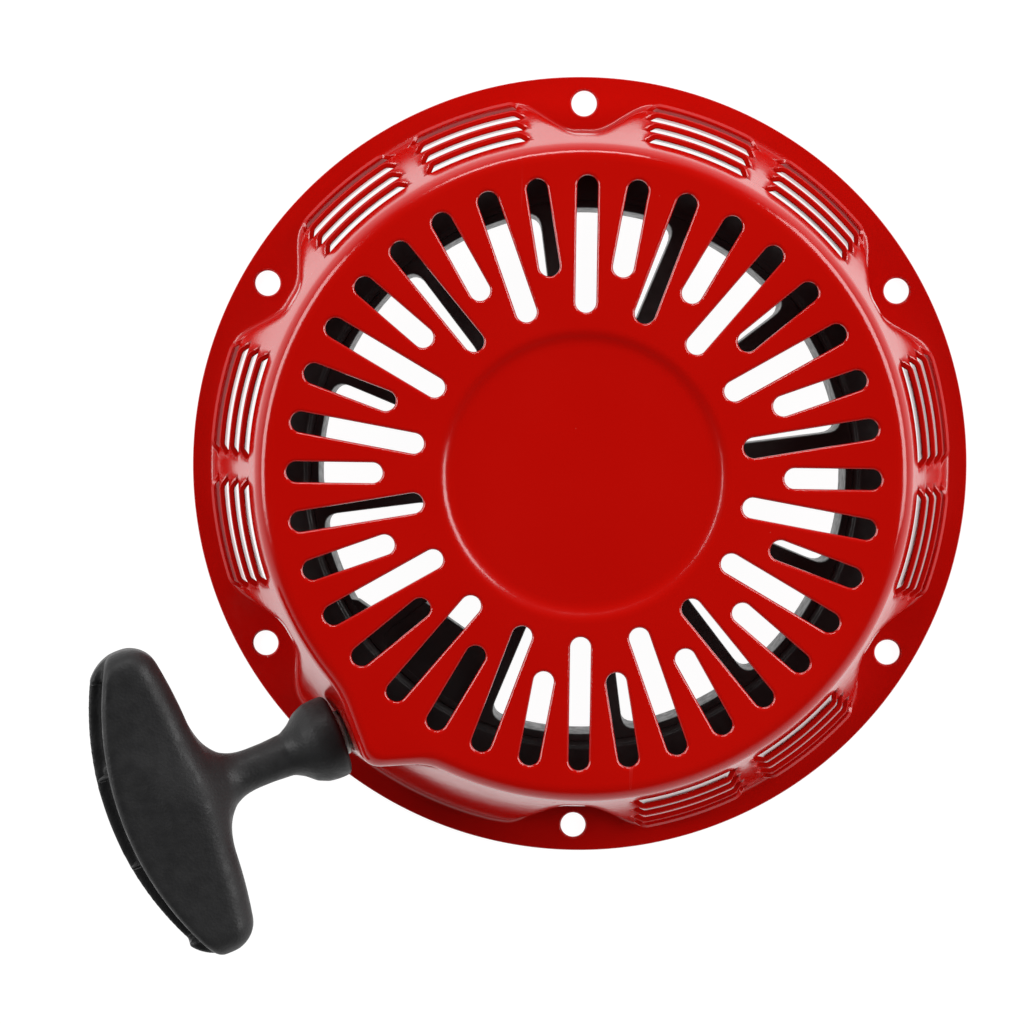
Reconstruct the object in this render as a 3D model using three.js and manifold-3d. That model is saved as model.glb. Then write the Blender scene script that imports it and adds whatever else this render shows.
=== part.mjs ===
// Recoil starter for a small engine, in millimetres, +Z up.
// Origin: centre of the bolt circle on the flange's mounting face. +Z points out through the
// slotted front face, and the reel turns about the Z axis.
import * as THREE from 'three';
import { mergeVertices } from 'three/addons/utils/BufferGeometryUtils.js';
import Module from 'manifold-3d';

const wasm = await Module();
wasm.setup();

// ---------------------------------------------------------------- driving dimensions
const SHEET = 1.5; // steel sheet of the cover
const GAP = 0.3; // clearance between pieces that rest on each other
const RUNNING_FIT = 0.08; // radial clearance of a shaft in its hole
const FLANGE_RADIUS = 108;
const BOLT_CIRCLE_RADIUS = 100.8;
const BOLT_HOLE_RADIUS = 3.6;
const BOLT_ANGLES = [30, 90, 150, 210, 270, 330];
const FACE_HEIGHT = 56;
const WALL_BASE_RADIUS = 102.3; // cone of the wall, carried down to the mounting face
const WALL_SLOPE = 0.372; // radius lost for each millimetre of height
const SHOULDER_RADIUS = 5;
const DISH_RADIUS = 34;
const DISH_DEPTH = 1.5;

const POCKET_FOOT_RADIUS = 92.5; // wall behind each bolt, where it meets the flange
const POCKET_SLOPE = 0.14;
const POCKET_FLAT = 2; // half width of the flat bottom of a pocket
const POCKET_FLANK = 18; // width of one curved flank

const SLOT_COUNT = 36;
const SLOT_WIDTH = 5.1;
const SLOT_OUTER_RADIUS = 74.3;
const SLOT_INNER_LONG = 40.5;
const SLOT_INNER_SHORT = 50.1;

const LOUVRE_GROUPS = [0, 60, 120, 180, 300];
const LOUVRE_TOPS = [46, 33, 20, 7];
const LOUVRE_HEIGHT = 3;
const LOUVRE_HALF_ANGLE = 9.2;
const LOUVRE_OFFSET_ANGLE = 10.4;

const PULL_AZIMUTH = 201; // the rope leaves square to the outlet's flat wall
const PULL_ELEVATION = 15;
const OUTLET_DISTANCE = 82; // from the axis to the outlet wall, at the outlet's height
const OUTLET_HEIGHT = 34.5;
const OUTLET_OFFSET = 42.5; // pull line to the reel's axis, in plan
const OUTLET_SIDE_AZIMUTH = 274.2; // normal of the bulge's other wall
const OUTLET_SIDE_DISTANCE = 70.6;
const OUTLET_SIDE_SLOPE = 0.08;
const GUIDE_FLANGE_RADIUS = 5.9;
const GUIDE_BODY_RADIUS = 4.7;

const ROPE_RADIUS = 2.5;
const ROPE_HEIGHT = 31; // middle of the reel's groove
const COIL_INNER_RADIUS = 71.1;
const COIL_OUTER_RADIUS = 80.1;

const REEL_RADIUS = 84.4;
const REEL_RIM_INNER = 68.2;
const REEL_CORE_RADIUS = 70.8;
const REEL_TOP = 38.5;
const REEL_BOTTOM = 23.5;
const REEL_FLANGE = 2.2;
const SPOKE_COUNT = 12;
const SPOKE_ANGLE = 8;
const SPOKE_WIDTH = 4.8;
const SPOKE_BOTTOM = 26;
const HUB_RADIUS = 38.5;
const HUB_WALL = 2;
const HUB_BOTTOM = 13.5;
const CUP_FLOOR = 33.5;
const CUP_TOP = 51.3;
const BOSS_RADIUS = 12;

const POST_RADIUS = 7;
const BORE_RADIUS = POST_RADIUS + RUNNING_FIT;
const POST_HEAD_RADIUS = 9;
const SPRING_TURNS = 6;
const SPRING_STRIP = 0.6;
const SPRING_BOTTOM = 38.2;
const SPRING_TOP = 49.8;

const PAWL_PIVOT_RADIUS = 24;
const PAWL_TIP = new THREE.Vector2(-6, -22); // from the pivot, at rest
const PAWL_BOTTOM = 8.9;
const PAWL_TOP = 13.2;
const PAWL_SWING = 30;
const PEG_SHARE = 0.53; // the peg's place along the pawl
const PEG_RADIUS = 1.5;
const GUIDE_TURN = 35;
const GUIDE_RADIUS = 33;
const GUIDE_BOTTOM = 5.2;
const GUIDE_TOP = 8.2;
const PIN_RADIUS = 2.5;

const GRIP_STANDOFF = 1.7; // cover's skin to the grip's face
const NECK_RADIUS = 5.35;
const FLARE_RADIUS = 10.9;
const HEAD_INNER = 35.5; // along the pull line, from the grip's face
const HEAD_OUTER = 63;
const HEAD_HALF_LENGTH = 41;
const HEAD_HALF_THICKNESS = 11.5;
const HEAD_BACK_RADIUS = 84;
const HEAD_FLOOR = 40.5;

const MOUNT_RING = 96; // steps of the cover round the axis
const ROUND = 24; // sides of small round pieces

// ---------------------------------------------------------------- helpers
const rad = THREE.MathUtils.degToRad;
const polar = (radius, degrees) => [radius * Math.cos(rad(degrees)), radius * Math.sin(rad(degrees))];

function signedVolume(positions, triangles) {
  const [a, b, c] = [new THREE.Vector3(), new THREE.Vector3(), new THREE.Vector3()];
  let total = 0;
  for (let i = 0; i < triangles.length; i += 3) {
    a.fromArray(positions, 3 * triangles[i]);
    b.fromArray(positions, 3 * triangles[i + 1]);
    c.fromArray(positions, 3 * triangles[i + 2]);
    total += a.dot(b.cross(c));
  }
  return total;
}

// A closed three.js geometry as a solid that can be joined and cut.
function solid(geometry) {
  const bare = geometry.clone();
  bare.deleteAttribute('normal');
  bare.deleteAttribute('uv');
  const merged = mergeVertices(bare, 1e-4);
  const positions = merged.attributes.position.array;
  const triangles = [];
  for (let i = 0; i < merged.index.count; i += 3) {
    const corners = [0, 1, 2].map((k) => merged.index.getX(i + k));
    if (new Set(corners).size === 3) triangles.push(...corners);
  }
  if (signedVolume(positions, triangles) < 0) triangles.reverse();
  return new wasm.Manifold(new wasm.Mesh({
    numProp: 3,
    vertProperties: new Float32Array(positions),
    triVerts: new Uint32Array(triangles),
  }));
}

function geometryOf(body) {
  const { vertProperties, triVerts, numProp } = body.getMesh();
  const positions = [];
  for (let i = 0; i < vertProperties.length; i += numProp) {
    positions.push(vertProperties[i], vertProperties[i + 1], vertProperties[i + 2]);
  }
  const geometry = new THREE.BufferGeometry();
  geometry.setAttribute('position', new THREE.Float32BufferAttribute(positions, 3));
  geometry.setIndex([...triVerts]);
  geometry.computeVertexNormals();
  return geometry;
}

const join = (first, ...others) => others.reduce((sum, other) => sum.add(other), first);
const cut = (first, ...others) => others.reduce((rest, other) => rest.subtract(other), first);

// A ring or disc about Z from a closed profile of [radius, height] points.
function turned(profile, sides = ROUND) {
  const points = [...profile, profile[0]].map(([r, z]) => new THREE.Vector2(r, z));
  return solid(new THREE.LatheGeometry(points, sides).rotateX(Math.PI / 2));
}

const tube = (inner, outer, bottom, top, sides) =>
  turned([[inner, bottom], [outer, bottom], [outer, top], [inner, top]], sides);

function disc(radius, bottom, top, x = 0, y = 0, sides = ROUND) {
  const geometry = new THREE.CylinderGeometry(radius, radius, top - bottom, sides);
  return solid(geometry.rotateX(Math.PI / 2).translate(x, y, (bottom + top) / 2));
}

function block([x0, y0, z0], [x1, y1, z1]) {
  const geometry = new THREE.BoxGeometry(x1 - x0, y1 - y0, z1 - z0);
  return solid(geometry.translate((x0 + x1) / 2, (y0 + y1) / 2, (z0 + z1) / 2));
}

// A flat outline of [x, y] points, pulled up from bottom to top.
function plate(points, bottom, top) {
  const shape = new THREE.Shape(points.map(([x, y]) => new THREE.Vector2(x, y)));
  const settings = { depth: top - bottom, bevelEnabled: false };
  return solid(new THREE.ExtrudeGeometry(shape, settings).translate(0, 0, bottom));
}

const turn = (body, degrees) => body.rotate([0, 0, degrees]);

function arc(radius, from, to, steps) {
  return Array.from({ length: steps + 1 }, (_, i) => polar(radius, from + ((to - from) * i) / steps));
}

// A rod of a polygonal section along a curve.
function rod(curve, outline, steps) {
  const shape = new THREE.Shape(outline.map(([x, y]) => new THREE.Vector2(x, y)));
  return solid(new THREE.ExtrudeGeometry(shape, { steps, bevelEnabled: false, extrudePath: curve }));
}

const roundOutline = (radius, sides) => arc(radius, 0, 360 - 360 / sides, sides - 1);

const materials = {
  paint: new THREE.MeshStandardMaterial({ color: 0xb80a06, roughness: 0.22, metalness: 0.1 }),
  plastic: new THREE.MeshStandardMaterial({ color: 0x161616, roughness: 0.5, metalness: 0 }),
  grip: new THREE.MeshStandardMaterial({ color: 0x26262a, roughness: 0.75, metalness: 0 }),
  steel: new THREE.MeshStandardMaterial({ color: 0x9a9c9e, roughness: 0.35, metalness: 0.9 }),
  spring: new THREE.MeshStandardMaterial({ color: 0x3c4048, roughness: 0.35, metalness: 0.9 }),
  guide: new THREE.MeshStandardMaterial({ color: 0xd8d6ce, roughness: 0.5, metalness: 0 }),
  rope: new THREE.MeshStandardMaterial({ color: 0xe4e2da, roughness: 0.9, metalness: 0 }),
};

const starter = new THREE.Group();

function addPiece(name, body, material) {
  const mesh = new THREE.Mesh(geometryOf(body), materials[material]);
  mesh.name = name;
  starter.add(mesh);
}

// ---------------------------------------------------------------- cover
// Distance from the axis to the cover's skin at an angle and a height; inset gives the inner skin.
function skinRadius(degrees, height, inset = 0) {
  const angle = (degrees + 360) % 360;
  let radius = WALL_BASE_RADIUS - WALL_SLOPE * height - 1.06 * inset;
  if (angle > PULL_AZIMUTH && angle < OUTLET_SIDE_AZIMUTH) {
    const tilt = Math.tan(rad(PULL_ELEVATION)) * (OUTLET_HEIGHT - height);
    const front = OUTLET_DISTANCE + tilt - 1.035 * inset;
    const side = OUTLET_SIDE_DISTANCE + OUTLET_SIDE_SLOPE * (FACE_HEIGHT - height) - inset;
    const bulge = Math.min(
      front / Math.cos(rad(angle - PULL_AZIMUTH)),
      side / Math.cos(rad(angle - OUTLET_SIDE_AZIMUTH)),
    );
    radius = Math.max(radius, bulge);
  }
  for (const bolt of BOLT_ANGLES) {
    const across = Math.abs(POCKET_FOOT_RADIUS * Math.sin(rad(angle - bolt)));
    const near = Math.cos(rad(angle - bolt)) > 0;
    const flank = (across - POCKET_FLAT) / POCKET_FLANK;
    if (near && flank < 1) {
      const rise = (1 - Math.cos(Math.PI * Math.max(0, flank))) / 2;
      const depth = (WALL_BASE_RADIUS - POCKET_FOOT_RADIUS) * rise;
      radius = Math.min(radius, POCKET_FOOT_RADIUS - POCKET_SLOPE * height + depth - inset);
    }
  }
  return radius;
}

// One skin of the cover as rows of [radius, height], from the middle of the dish to the foot.
function skinRows(degrees, inset) {
  const top = FACE_HEIGHT - inset;
  const edge = skinRadius(degrees, FACE_HEIGHT, inset);
  const round = SHOULDER_RADIUS;
  const wallTop = skinRadius(degrees, top - round, inset);
  const rows = [[DISH_RADIUS - 2, top - DISH_DEPTH], [DISH_RADIUS + 1.5, top]];
  rows.push([edge - 0.8 * round, top], [(edge + wallTop) / 2 - 0.2 * round, top - 0.25 * round]);
  rows.push([wallTop, top - round]);
  for (const height of [40, 29, 18, 6]) {
    rows.push([skinRadius(degrees, height - inset, inset), height - inset]);
  }
  rows.push([skinRadius(degrees, SHEET, inset) + 1, SHEET - inset]);
  return rows;
}

function coverShell() {
  const columns = [];
  for (let i = 0; i < MOUNT_RING; i += 1) {
    const degrees = (360 * i) / MOUNT_RING;
    const rim = [[FLANGE_RADIUS, SHEET], [FLANGE_RADIUS, 0]];
    const rows = [...skinRows(degrees, 0), ...rim, ...skinRows(degrees, SHEET).reverse()];
    columns.push(rows.map(([r, z]) => [...polar(r, degrees), z]));
  }
  const rowCount = columns[0].length;
  const positions = columns.flat(2);
  const outerPole = positions.length / 3;
  positions.push(0, 0, FACE_HEIGHT - DISH_DEPTH, 0, 0, FACE_HEIGHT - SHEET - DISH_DEPTH);
  const triangles = [];
  for (let i = 0; i < MOUNT_RING; i += 1) {
    const here = i * rowCount;
    const next = ((i + 1) % MOUNT_RING) * rowCount;
    triangles.push(outerPole, here, next);
    triangles.push(outerPole + 1, next + rowCount - 1, here + rowCount - 1);
    for (let row = 0; row + 1 < rowCount; row += 1) {
      triangles.push(here + row, here + row + 1, next + row + 1);
      triangles.push(here + row, next + row + 1, next + row);
    }
  }
  const geometry = new THREE.BufferGeometry();
  geometry.setAttribute('position', new THREE.Float32BufferAttribute(positions, 3));
  geometry.setIndex(triangles);
  return solid(geometry);
}

function faceSlot(index) {
  const inner = (index % 2 === 0 ? SLOT_INNER_SHORT : SLOT_INNER_LONG) + SLOT_WIDTH / 2;
  const outer = SLOT_OUTER_RADIUS - SLOT_WIDTH / 2;
  const end = (centre, from) => arc(SLOT_WIDTH / 2, from, from + 180, 4).map(([x, y]) => [x + centre, y]);
  const outline = [...end(outer, -90), ...end(inner, 90)];
  return turn(plate(outline, FACE_HEIGHT - 5, FACE_HEIGHT + 5), (360 * index) / SLOT_COUNT);
}

function louvreCut(angle, top) {
  const middle = WALL_BASE_RADIUS - WALL_SLOPE * top;
  const half = middle * Math.sin(rad(LOUVRE_HALF_ANGLE));
  return turn(block([middle - 7, -half, top - LOUVRE_HEIGHT], [middle + 6, half, top]), angle);
}

function makeCover() {
  let cover = coverShell();
  for (const angle of BOLT_ANGLES) {
    const [x, y] = polar(BOLT_CIRCLE_RADIUS, angle);
    cover = cut(cover, disc(BOLT_HOLE_RADIUS, -5, 10, x, y, 16));
  }
  for (let i = 0; i < SLOT_COUNT; i += 1) cover = cut(cover, faceSlot(i));
  for (const group of LOUVRE_GROUPS) {
    for (const side of [-1, 1]) {
      for (const top of LOUVRE_TOPS) {
        cover = cut(cover, louvreCut(group + side * LOUVRE_OFFSET_ANGLE, top));
      }
    }
  }
  return cut(cover, onPullLine(alongPull(GUIDE_BODY_RADIUS + GAP, -5, 5)));
}

// ---------------------------------------------------------------- rope outlet
// Pieces of the outlet and the grip are built with +X along the pull line, away from the cover,
// and +Y across the handle; onPullLine puts their origin on the cover's skin at the outlet.
const outletFrame = new THREE.Matrix4()
  .makeRotationZ(rad(PULL_AZIMUTH))
  .multiply(new THREE.Matrix4().makeTranslation(OUTLET_DISTANCE, OUTLET_OFFSET, OUTLET_HEIGHT))
  .multiply(new THREE.Matrix4().makeRotationY(-rad(PULL_ELEVATION)));
const onPullLine = (body) => body.transform(outletFrame.elements.slice());
const pullPoint = (along) => new THREE.Vector3(along, 0, 0).applyMatrix4(outletFrame);

// A profile of [radius, distance along the pull line], turned about that line.
const turnedOnPull = (profile, sides) => turned(profile, sides).rotate([0, 90, 0]);
const alongPull = (radius, from, to, sides = ROUND) =>
  disc(radius, from, to, 0, 0, sides).rotate([0, 90, 0]);

function makeRopeGuide() {
  return turnedOnPull([
    [4.3, -3.4], [GUIDE_FLANGE_RADIUS, -3.4], [GUIDE_FLANGE_RADIUS, -SHEET - GAP],
    [GUIDE_BODY_RADIUS, -SHEET - GAP], [GUIDE_BODY_RADIUS, GAP], [GUIDE_FLANGE_RADIUS, GAP],
    [GUIDE_FLANGE_RADIUS, 1.4], [3.4, 1.4], [2.9, 0.8], [2.9, -1.2],
  ], ROUND);
}

// ---------------------------------------------------------------- rope
const ROPE_BEND = 4.9; // how far inside the outlet the rope turns onto the pull line

function makeRopeLead() {
  const tangentRadius = COIL_OUTER_RADIUS + 0.2 + ROPE_RADIUS;
  const bend = pullPoint(-ROPE_BEND);
  const toTangent = Math.acos(tangentRadius / Math.hypot(bend.x, bend.y));
  const azimuth = THREE.MathUtils.radToDeg(Math.atan2(bend.y, bend.x) + toTangent);
  const leaves = new THREE.Vector3(...polar(tangentRadius, azimuth), ROPE_HEIGHT);
  const inward = leaves.clone().sub(bend).setLength(4).add(bend);
  const outward = pullPoint(4 - ROPE_BEND);
  const path = new THREE.CurvePath();
  path.add(new THREE.LineCurve3(leaves, inward));
  path.add(new THREE.QuadraticBezierCurve3(inward, bend, outward));
  path.add(new THREE.LineCurve3(outward, pullPoint(GRIP_STANDOFF - GAP)));
  return rod(path, roundOutline(ROPE_RADIUS, 8), 12);
}

const makeRopeTail = () => alongPull(ROPE_RADIUS, 0, HEAD_FLOOR + 3.2, 12);

function knot(length, radius) {
  return solid(new THREE.SphereGeometry(radius, 12, 8).scale(1, 1, length / (2 * radius)));
}

// ---------------------------------------------------------------- reel
// One moulding, in pieces that meet with a hair's breadth between them: rim, hub, spokes.
function makeRimAndHub() {
  const rim = turned([
    [REEL_RIM_INNER, REEL_BOTTOM], [REEL_RADIUS, REEL_BOTTOM],
    [REEL_RADIUS, REEL_BOTTOM + REEL_FLANGE], [REEL_CORE_RADIUS, REEL_BOTTOM + REEL_FLANGE],
    [REEL_CORE_RADIUS, REEL_TOP - REEL_FLANGE], [REEL_RADIUS, REEL_TOP - REEL_FLANGE],
    [REEL_RADIUS, REEL_TOP], [REEL_RIM_INNER, REEL_TOP],
  ], 60);
  const hub = turned([
    [BORE_RADIUS, HUB_BOTTOM], [BOSS_RADIUS, HUB_BOTTOM], [BOSS_RADIUS, CUP_FLOOR - 2.5],
    [HUB_RADIUS - HUB_WALL, CUP_FLOOR - 2.5], [HUB_RADIUS - HUB_WALL, HUB_BOTTOM],
    [HUB_RADIUS, HUB_BOTTOM], [HUB_RADIUS, CUP_TOP], [HUB_RADIUS - HUB_WALL, CUP_TOP],
    [HUB_RADIUS - HUB_WALL, CUP_FLOOR], [BOSS_RADIUS, CUP_FLOOR], [BOSS_RADIUS, 36.5],
    [BORE_RADIUS, 36.5],
  ], 36);
  return [cut(join(rim, ropeAnchorWeb()), ropeAnchorHole()), makeHub(hub)];
}

// The hub with the ribs and pawl bosses of its recess.
function makeHub(bare) {
  let hub = bare;
  for (let i = 0; i < 6; i += 1) {
    const rib = block([BOSS_RADIUS - 0.5, -1, HUB_BOTTOM + 4], [HUB_RADIUS - 1, 1, CUP_FLOOR - 1]);
    hub = join(hub, turn(rib, 30 + 60 * i));
  }
  for (const side of [0, 180]) {
    const boss = disc(6, 16.5, CUP_FLOOR - 1, PAWL_PIVOT_RADIUS, 0);
    const pinHole = disc(PIN_RADIUS + RUNNING_FIT, 10, 28, PAWL_PIVOT_RADIUS, 0);
    hub = cut(join(hub, turn(boss, side)), turn(pinHole, side));
  }
  return cut(hub, springSlot());
}

// Spoke number index, made this much larger all round.
function makeSpoke(index, extra = 0) {
  const spoke = block(
    [HUB_RADIUS + 0.05, -SPOKE_WIDTH / 2 - extra, SPOKE_BOTTOM - extra],
    [REEL_RIM_INNER - 0.2 + 4 * extra, SPOKE_WIDTH / 2 + extra, REEL_TOP - 0.5 + extra],
  );
  return turn(spoke, SPOKE_ANGLE + (360 * index) / SPOKE_COUNT);
}

// The plate between two spokes that carries the rope's inner knot.
const ANCHOR_AZIMUTH = 235.7;
function ropeAnchorWeb() {
  const edge = (distance, degrees) => polar(distance / Math.cos(rad(degrees - ANCHOR_AZIMUTH)), degrees);
  const outer = REEL_RIM_INNER + 1;
  const main = [edge(51, 219), edge(51, 247), ...arc(outer, 247, 219, 6)];
  const side = [edge(60, 210), edge(60, 217), ...arc(outer, 217, 210, 2)];
  const [bottom, top] = [REEL_TOP - 5.5, REEL_TOP - 0.5];
  const plates = join(plate(main, bottom, top), plate(side, bottom, top));
  return cut(plates, makeSpoke(7, 0.1), makeSpoke(8, 0.1));
}

const alongAnchor = (body) => body.rotate([0, 90, 0]).rotate([0, 0, ANCHOR_AZIMUTH]);
const ropeAnchorHole = () => alongAnchor(disc(3.2, 60, 75, 0, 0, 12)).translate([0, 0, 28.3]);
const springSlot = () => turn(block([35, -1.6, SPRING_BOTTOM - 1], [40, 1.6, CUP_TOP + 1]), 140);

function makeReelKnot() {
  const [x, y] = polar(62.5, ANCHOR_AZIMUTH);
  const stub = alongAnchor(disc(ROPE_RADIUS, 62, COIL_INNER_RADIUS - GAP, 0, 0, 12));
  return join(knot(9, 4.1).translate([x, y, 0]), stub).translate([0, 0, 28.3]);
}

// ---------------------------------------------------------------- mainspring
function makeMainspring() {
  const inner = POST_HEAD_RADIUS + 0.8;
  const outer = HUB_RADIUS - HUB_WALL - 0.9;
  const points = [];
  const steps = SPRING_TURNS * 18;
  for (let i = 0; i <= steps; i += 1) {
    const degrees = -140 + (360 * SPRING_TURNS * i) / steps;
    points.push(polar(inner + ((outer - inner) * i) / steps, degrees));
  }
  const half = SPRING_STRIP / 2;
  const offset = (distance) => points.map(([x, y]) => {
    const radius = Math.hypot(x, y);
    return [x * (1 + distance / radius), y * (1 + distance / radius)];
  });
  return plate([...offset(half), ...offset(-half).reverse()], SPRING_BOTTOM, SPRING_TOP);
}

// ---------------------------------------------------------------- post and its fasteners
function makePost() {
  const top = FACE_HEIGHT - SHEET - DISH_DEPTH - GAP;
  const shaft = turned([
    [0, 13.3], [POST_RADIUS, 13.3], [POST_RADIUS, 36.8], [POST_HEAD_RADIUS, 36.8],
    [POST_HEAD_RADIUS, top - 1.8], [14, top - 1.8], [14, top], [0, top],
  ]);
  const thread = disc(2.9, 10, 26, 0, 0, 16);
  const hookNotch = block([6, -1.5, SPRING_BOTTOM - 1], [12, 1.5, SPRING_TOP + 0.6]);
  return cut(shaft, thread, turn(hookNotch, -140));
}

function makeScrew() {
  const shank = disc(2.6, 4, 25, 0, 0, 16);
  const head = disc(5.8, 1.4, 4.9, 0, 0, 6);
  return join(shank, head);
}

const makeWasher = () => tube(3.2, 13, 11.6, 13.0, ROUND);

function helix(radius, bottom, top, turns, x = 0, y = 0) {
  const points = [];
  const steps = Math.round(turns * 12);
  for (let i = 0; i <= steps; i += 1) {
    const [dx, dy] = polar(radius, (360 * turns * i) / steps);
    points.push(new THREE.Vector3(x + dx, y + dy, bottom + ((top - bottom) * i) / steps));
  }
  return new THREE.CatmullRomCurve3(points);
}

const makeFrictionSpring = () => rod(helix(5, 9, 10.8, 2), roundOutline(0.5, 6), 26);

// ---------------------------------------------------------------- pawls and guide
function makePawl() {
  const length = PAWL_TIP.length();
  const side = new THREE.Vector2(-PAWL_TIP.y, PAWL_TIP.x).divideScalar(length);
  const at = (share, width) => [
    PAWL_PIVOT_RADIUS + PAWL_TIP.x * share + side.x * width,
    PAWL_TIP.y * share + side.y * width,
  ];
  const [pegX, pegY] = at(PEG_SHARE, 0);
  const arm = plate([at(0, -5), at(0, 5), at(0.6, 4.6), at(1, 3.4), at(1.06, -2.4), at(0.5, -4.2)],
    PAWL_BOTTOM, PAWL_TOP);
  const body = join(
    disc(5.5, PAWL_BOTTOM, PAWL_TOP, PAWL_PIVOT_RADIUS, 0), arm,
    disc(PEG_RADIUS, GUIDE_BOTTOM + 0.6, PAWL_BOTTOM + 1, pegX, pegY, 12),
  );
  return cut(body, disc(PIN_RADIUS + RUNNING_FIT, 0, 20, PAWL_PIVOT_RADIUS, 0));
}

const makePawlPin = () => disc(PIN_RADIUS, PAWL_BOTTOM + GAP, 26, PAWL_PIVOT_RADIUS, 0);
const makePawlSpring = () =>
  rod(helix(3.9, 14, 15.7, 1.75, PAWL_PIVOT_RADIUS, 0), roundOutline(0.4, 6), 24);

// Where the pawl's peg lies on the guide, when the guide has turned a share of its range.
function pegOnGuide(share) {
  const swing = rad(PAWL_SWING * share);
  const peg = PAWL_TIP.clone().multiplyScalar(PEG_SHARE).rotateAround(new THREE.Vector2(), swing);
  peg.x += PAWL_PIVOT_RADIUS;
  return peg.rotateAround(new THREE.Vector2(), -rad(GUIDE_TURN * share));
}

function pegSlot() {
  const steps = 8;
  const width = PEG_RADIUS + 0.45;
  const left = [];
  const right = [];
  for (let i = 0; i <= steps; i += 1) {
    const here = pegOnGuide(i / steps);
    const ahead = pegOnGuide(i / steps + 0.01).sub(pegOnGuide(i / steps - 0.01)).setLength(width);
    left.push([here.x - ahead.y, here.y + ahead.x]);
    right.push([here.x + ahead.y, here.y - ahead.x]);
  }
  const channel = plate([...left, ...right.reverse()], 0, 12);
  const ends = [0, 1].map((share) => pegOnGuide(share)).map(({ x, y }) => disc(width, 0, 12, x, y, 12));
  return join(channel, ...ends);
}

function makeRatchetGuide() {
  const slot = pegSlot();
  const plateBody = tube(2.6 + 2 * RUNNING_FIT, GUIDE_RADIUS, GUIDE_BOTTOM, GUIDE_TOP, 40);
  return cut(plateBody, slot, turn(slot, 180));
}

// ---------------------------------------------------------------- grip
// The origin is the middle of the grip's face.
function makeGrip() {
  const stem = turnedOnPull([
    [0, 0], [9.6, 0], [FLARE_RADIUS, 1.6], [FLARE_RADIUS, 6.5], [9.6, 9.4],
    [7, 12], [NECK_RADIUS, 14.5], [NECK_RADIUS, 28], [6.6, 32], [9.5, HEAD_INNER + 1],
    [9.5, HEAD_FLOOR + 2], [0, HEAD_FLOOR + 2],
  ], ROUND);
  const backAt = (y) => HEAD_OUTER - (HEAD_BACK_RADIUS - Math.sqrt(HEAD_BACK_RADIUS ** 2 - y ** 2));
  const half = HEAD_HALF_LENGTH;
  const outline = [[HEAD_INNER, -14], [HEAD_INNER + 1.8, -half + 5], [HEAD_INNER + 4.5, -half + 0.8],
    [HEAD_INNER + 8, -half], [backAt(half) - 3.5, -half + 0.6], [backAt(half - 3), -half + 3]];
  for (const y of [-30, -20, -10, 0, 10, 20, 30]) outline.push([backAt(y), y]);
  outline.push([backAt(half - 3), half - 3], [backAt(half) - 3.5, half - 0.6], [HEAD_INNER + 8, half],
    [HEAD_INNER + 4.5, half - 0.8], [HEAD_INNER + 1.8, half - 5], [HEAD_INNER, 14]);
  const thick = HEAD_HALF_THICKNESS;
  const bevel = 4;
  const shape = new THREE.Shape(outline.map(([x, y]) => new THREE.Vector2(x, y)));
  const head = solid(new THREE.ExtrudeGeometry(shape, {
    depth: 2 * (thick - bevel), bevelEnabled: true, bevelThickness: bevel, bevelSize: bevel,
    bevelOffset: -bevel, bevelSegments: 2,
  }).translate(0, 0, bevel - thick));
  const chamber = (from, to) => {
    const rim = Math.min(backAt(from), backAt(to));
    const floor = from * to < 0 ? HEAD_FLOOR : HEAD_FLOOR + 4;
    return plate([[floor, from], [rim + 20, from], [rim + 20, to], [floor, to]], -5.5, 5.5);
  };
  return cut(join(head, stem), chamber(-35, -12.6), chamber(-11.2, 11.2), chamber(12.6, 35),
    alongPull(3, -1, HEAD_FLOOR + 1, 12));
}

function makeGripFerrule() {
  const [near, far] = [HEAD_FLOOR + GAP, HEAD_FLOOR + 1.6];
  return turnedOnPull([[2.9, near], [5.1, near], [5.1, far], [2.9, far]], 16);
}

const makeGripKnot = () => knot(9, 4.6).rotate([0, 90, 0]).translate([HEAD_FLOOR + 8.2, 0, 0]);

// ---------------------------------------------------------------- assembly
const onGrip = (body) => onPullLine(body.translate([GRIP_STANDOFF, 0, 0]));

addPiece('cover', makeCover(), 'paint');
addPiece('centre_post', makePost(), 'steel');
addPiece('rope_guide', onPullLine(makeRopeGuide()), 'guide');
addPiece('mainspring', makeMainspring(), 'spring');
const [rim, hub] = makeRimAndHub();
addPiece('reel_rim', rim, 'plastic');
addPiece('reel_hub', hub, 'plastic');
for (let i = 0; i < SPOKE_COUNT; i += 1) addPiece(`reel_spoke_${i + 1}`, makeSpoke(i), 'plastic');
addPiece('rope_coil', tube(COIL_INNER_RADIUS, COIL_OUTER_RADIUS, 26, 36, 48), 'rope');
addPiece('reel_knot', makeReelKnot(), 'rope');
addPiece('rope_lead', makeRopeLead(), 'rope');
addPiece('rope_tail', onGrip(makeRopeTail()), 'rope');
for (const [index, side] of [0, 180].entries()) {
  addPiece(`pawl_${index + 1}`, turn(makePawl(), side), 'steel');
  addPiece(`pawl_pin_${index + 1}`, turn(makePawlPin(), side), 'steel');
  addPiece(`pawl_spring_${index + 1}`, turn(makePawlSpring(), side), 'spring');
}
addPiece('thrust_washer', makeWasher(), 'steel');
addPiece('friction_spring', makeFrictionSpring(), 'spring');
addPiece('ratchet_guide', makeRatchetGuide(), 'plastic');
addPiece('centre_screw', makeScrew(), 'steel');
addPiece('grip', onGrip(makeGrip()), 'grip');
addPiece('grip_ferrule', onGrip(makeGripFerrule()), 'steel');
addPiece('grip_knot', onGrip(makeGripKnot()), 'rope');

export default starter;
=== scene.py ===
"""Recoil starter: the finished look of every piece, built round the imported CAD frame."""

import math

import bmesh
import bpy
import numpy as np
from mathutils import Matrix, Vector
from mathutils.geometry import delaunay_2d_cdt


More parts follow.
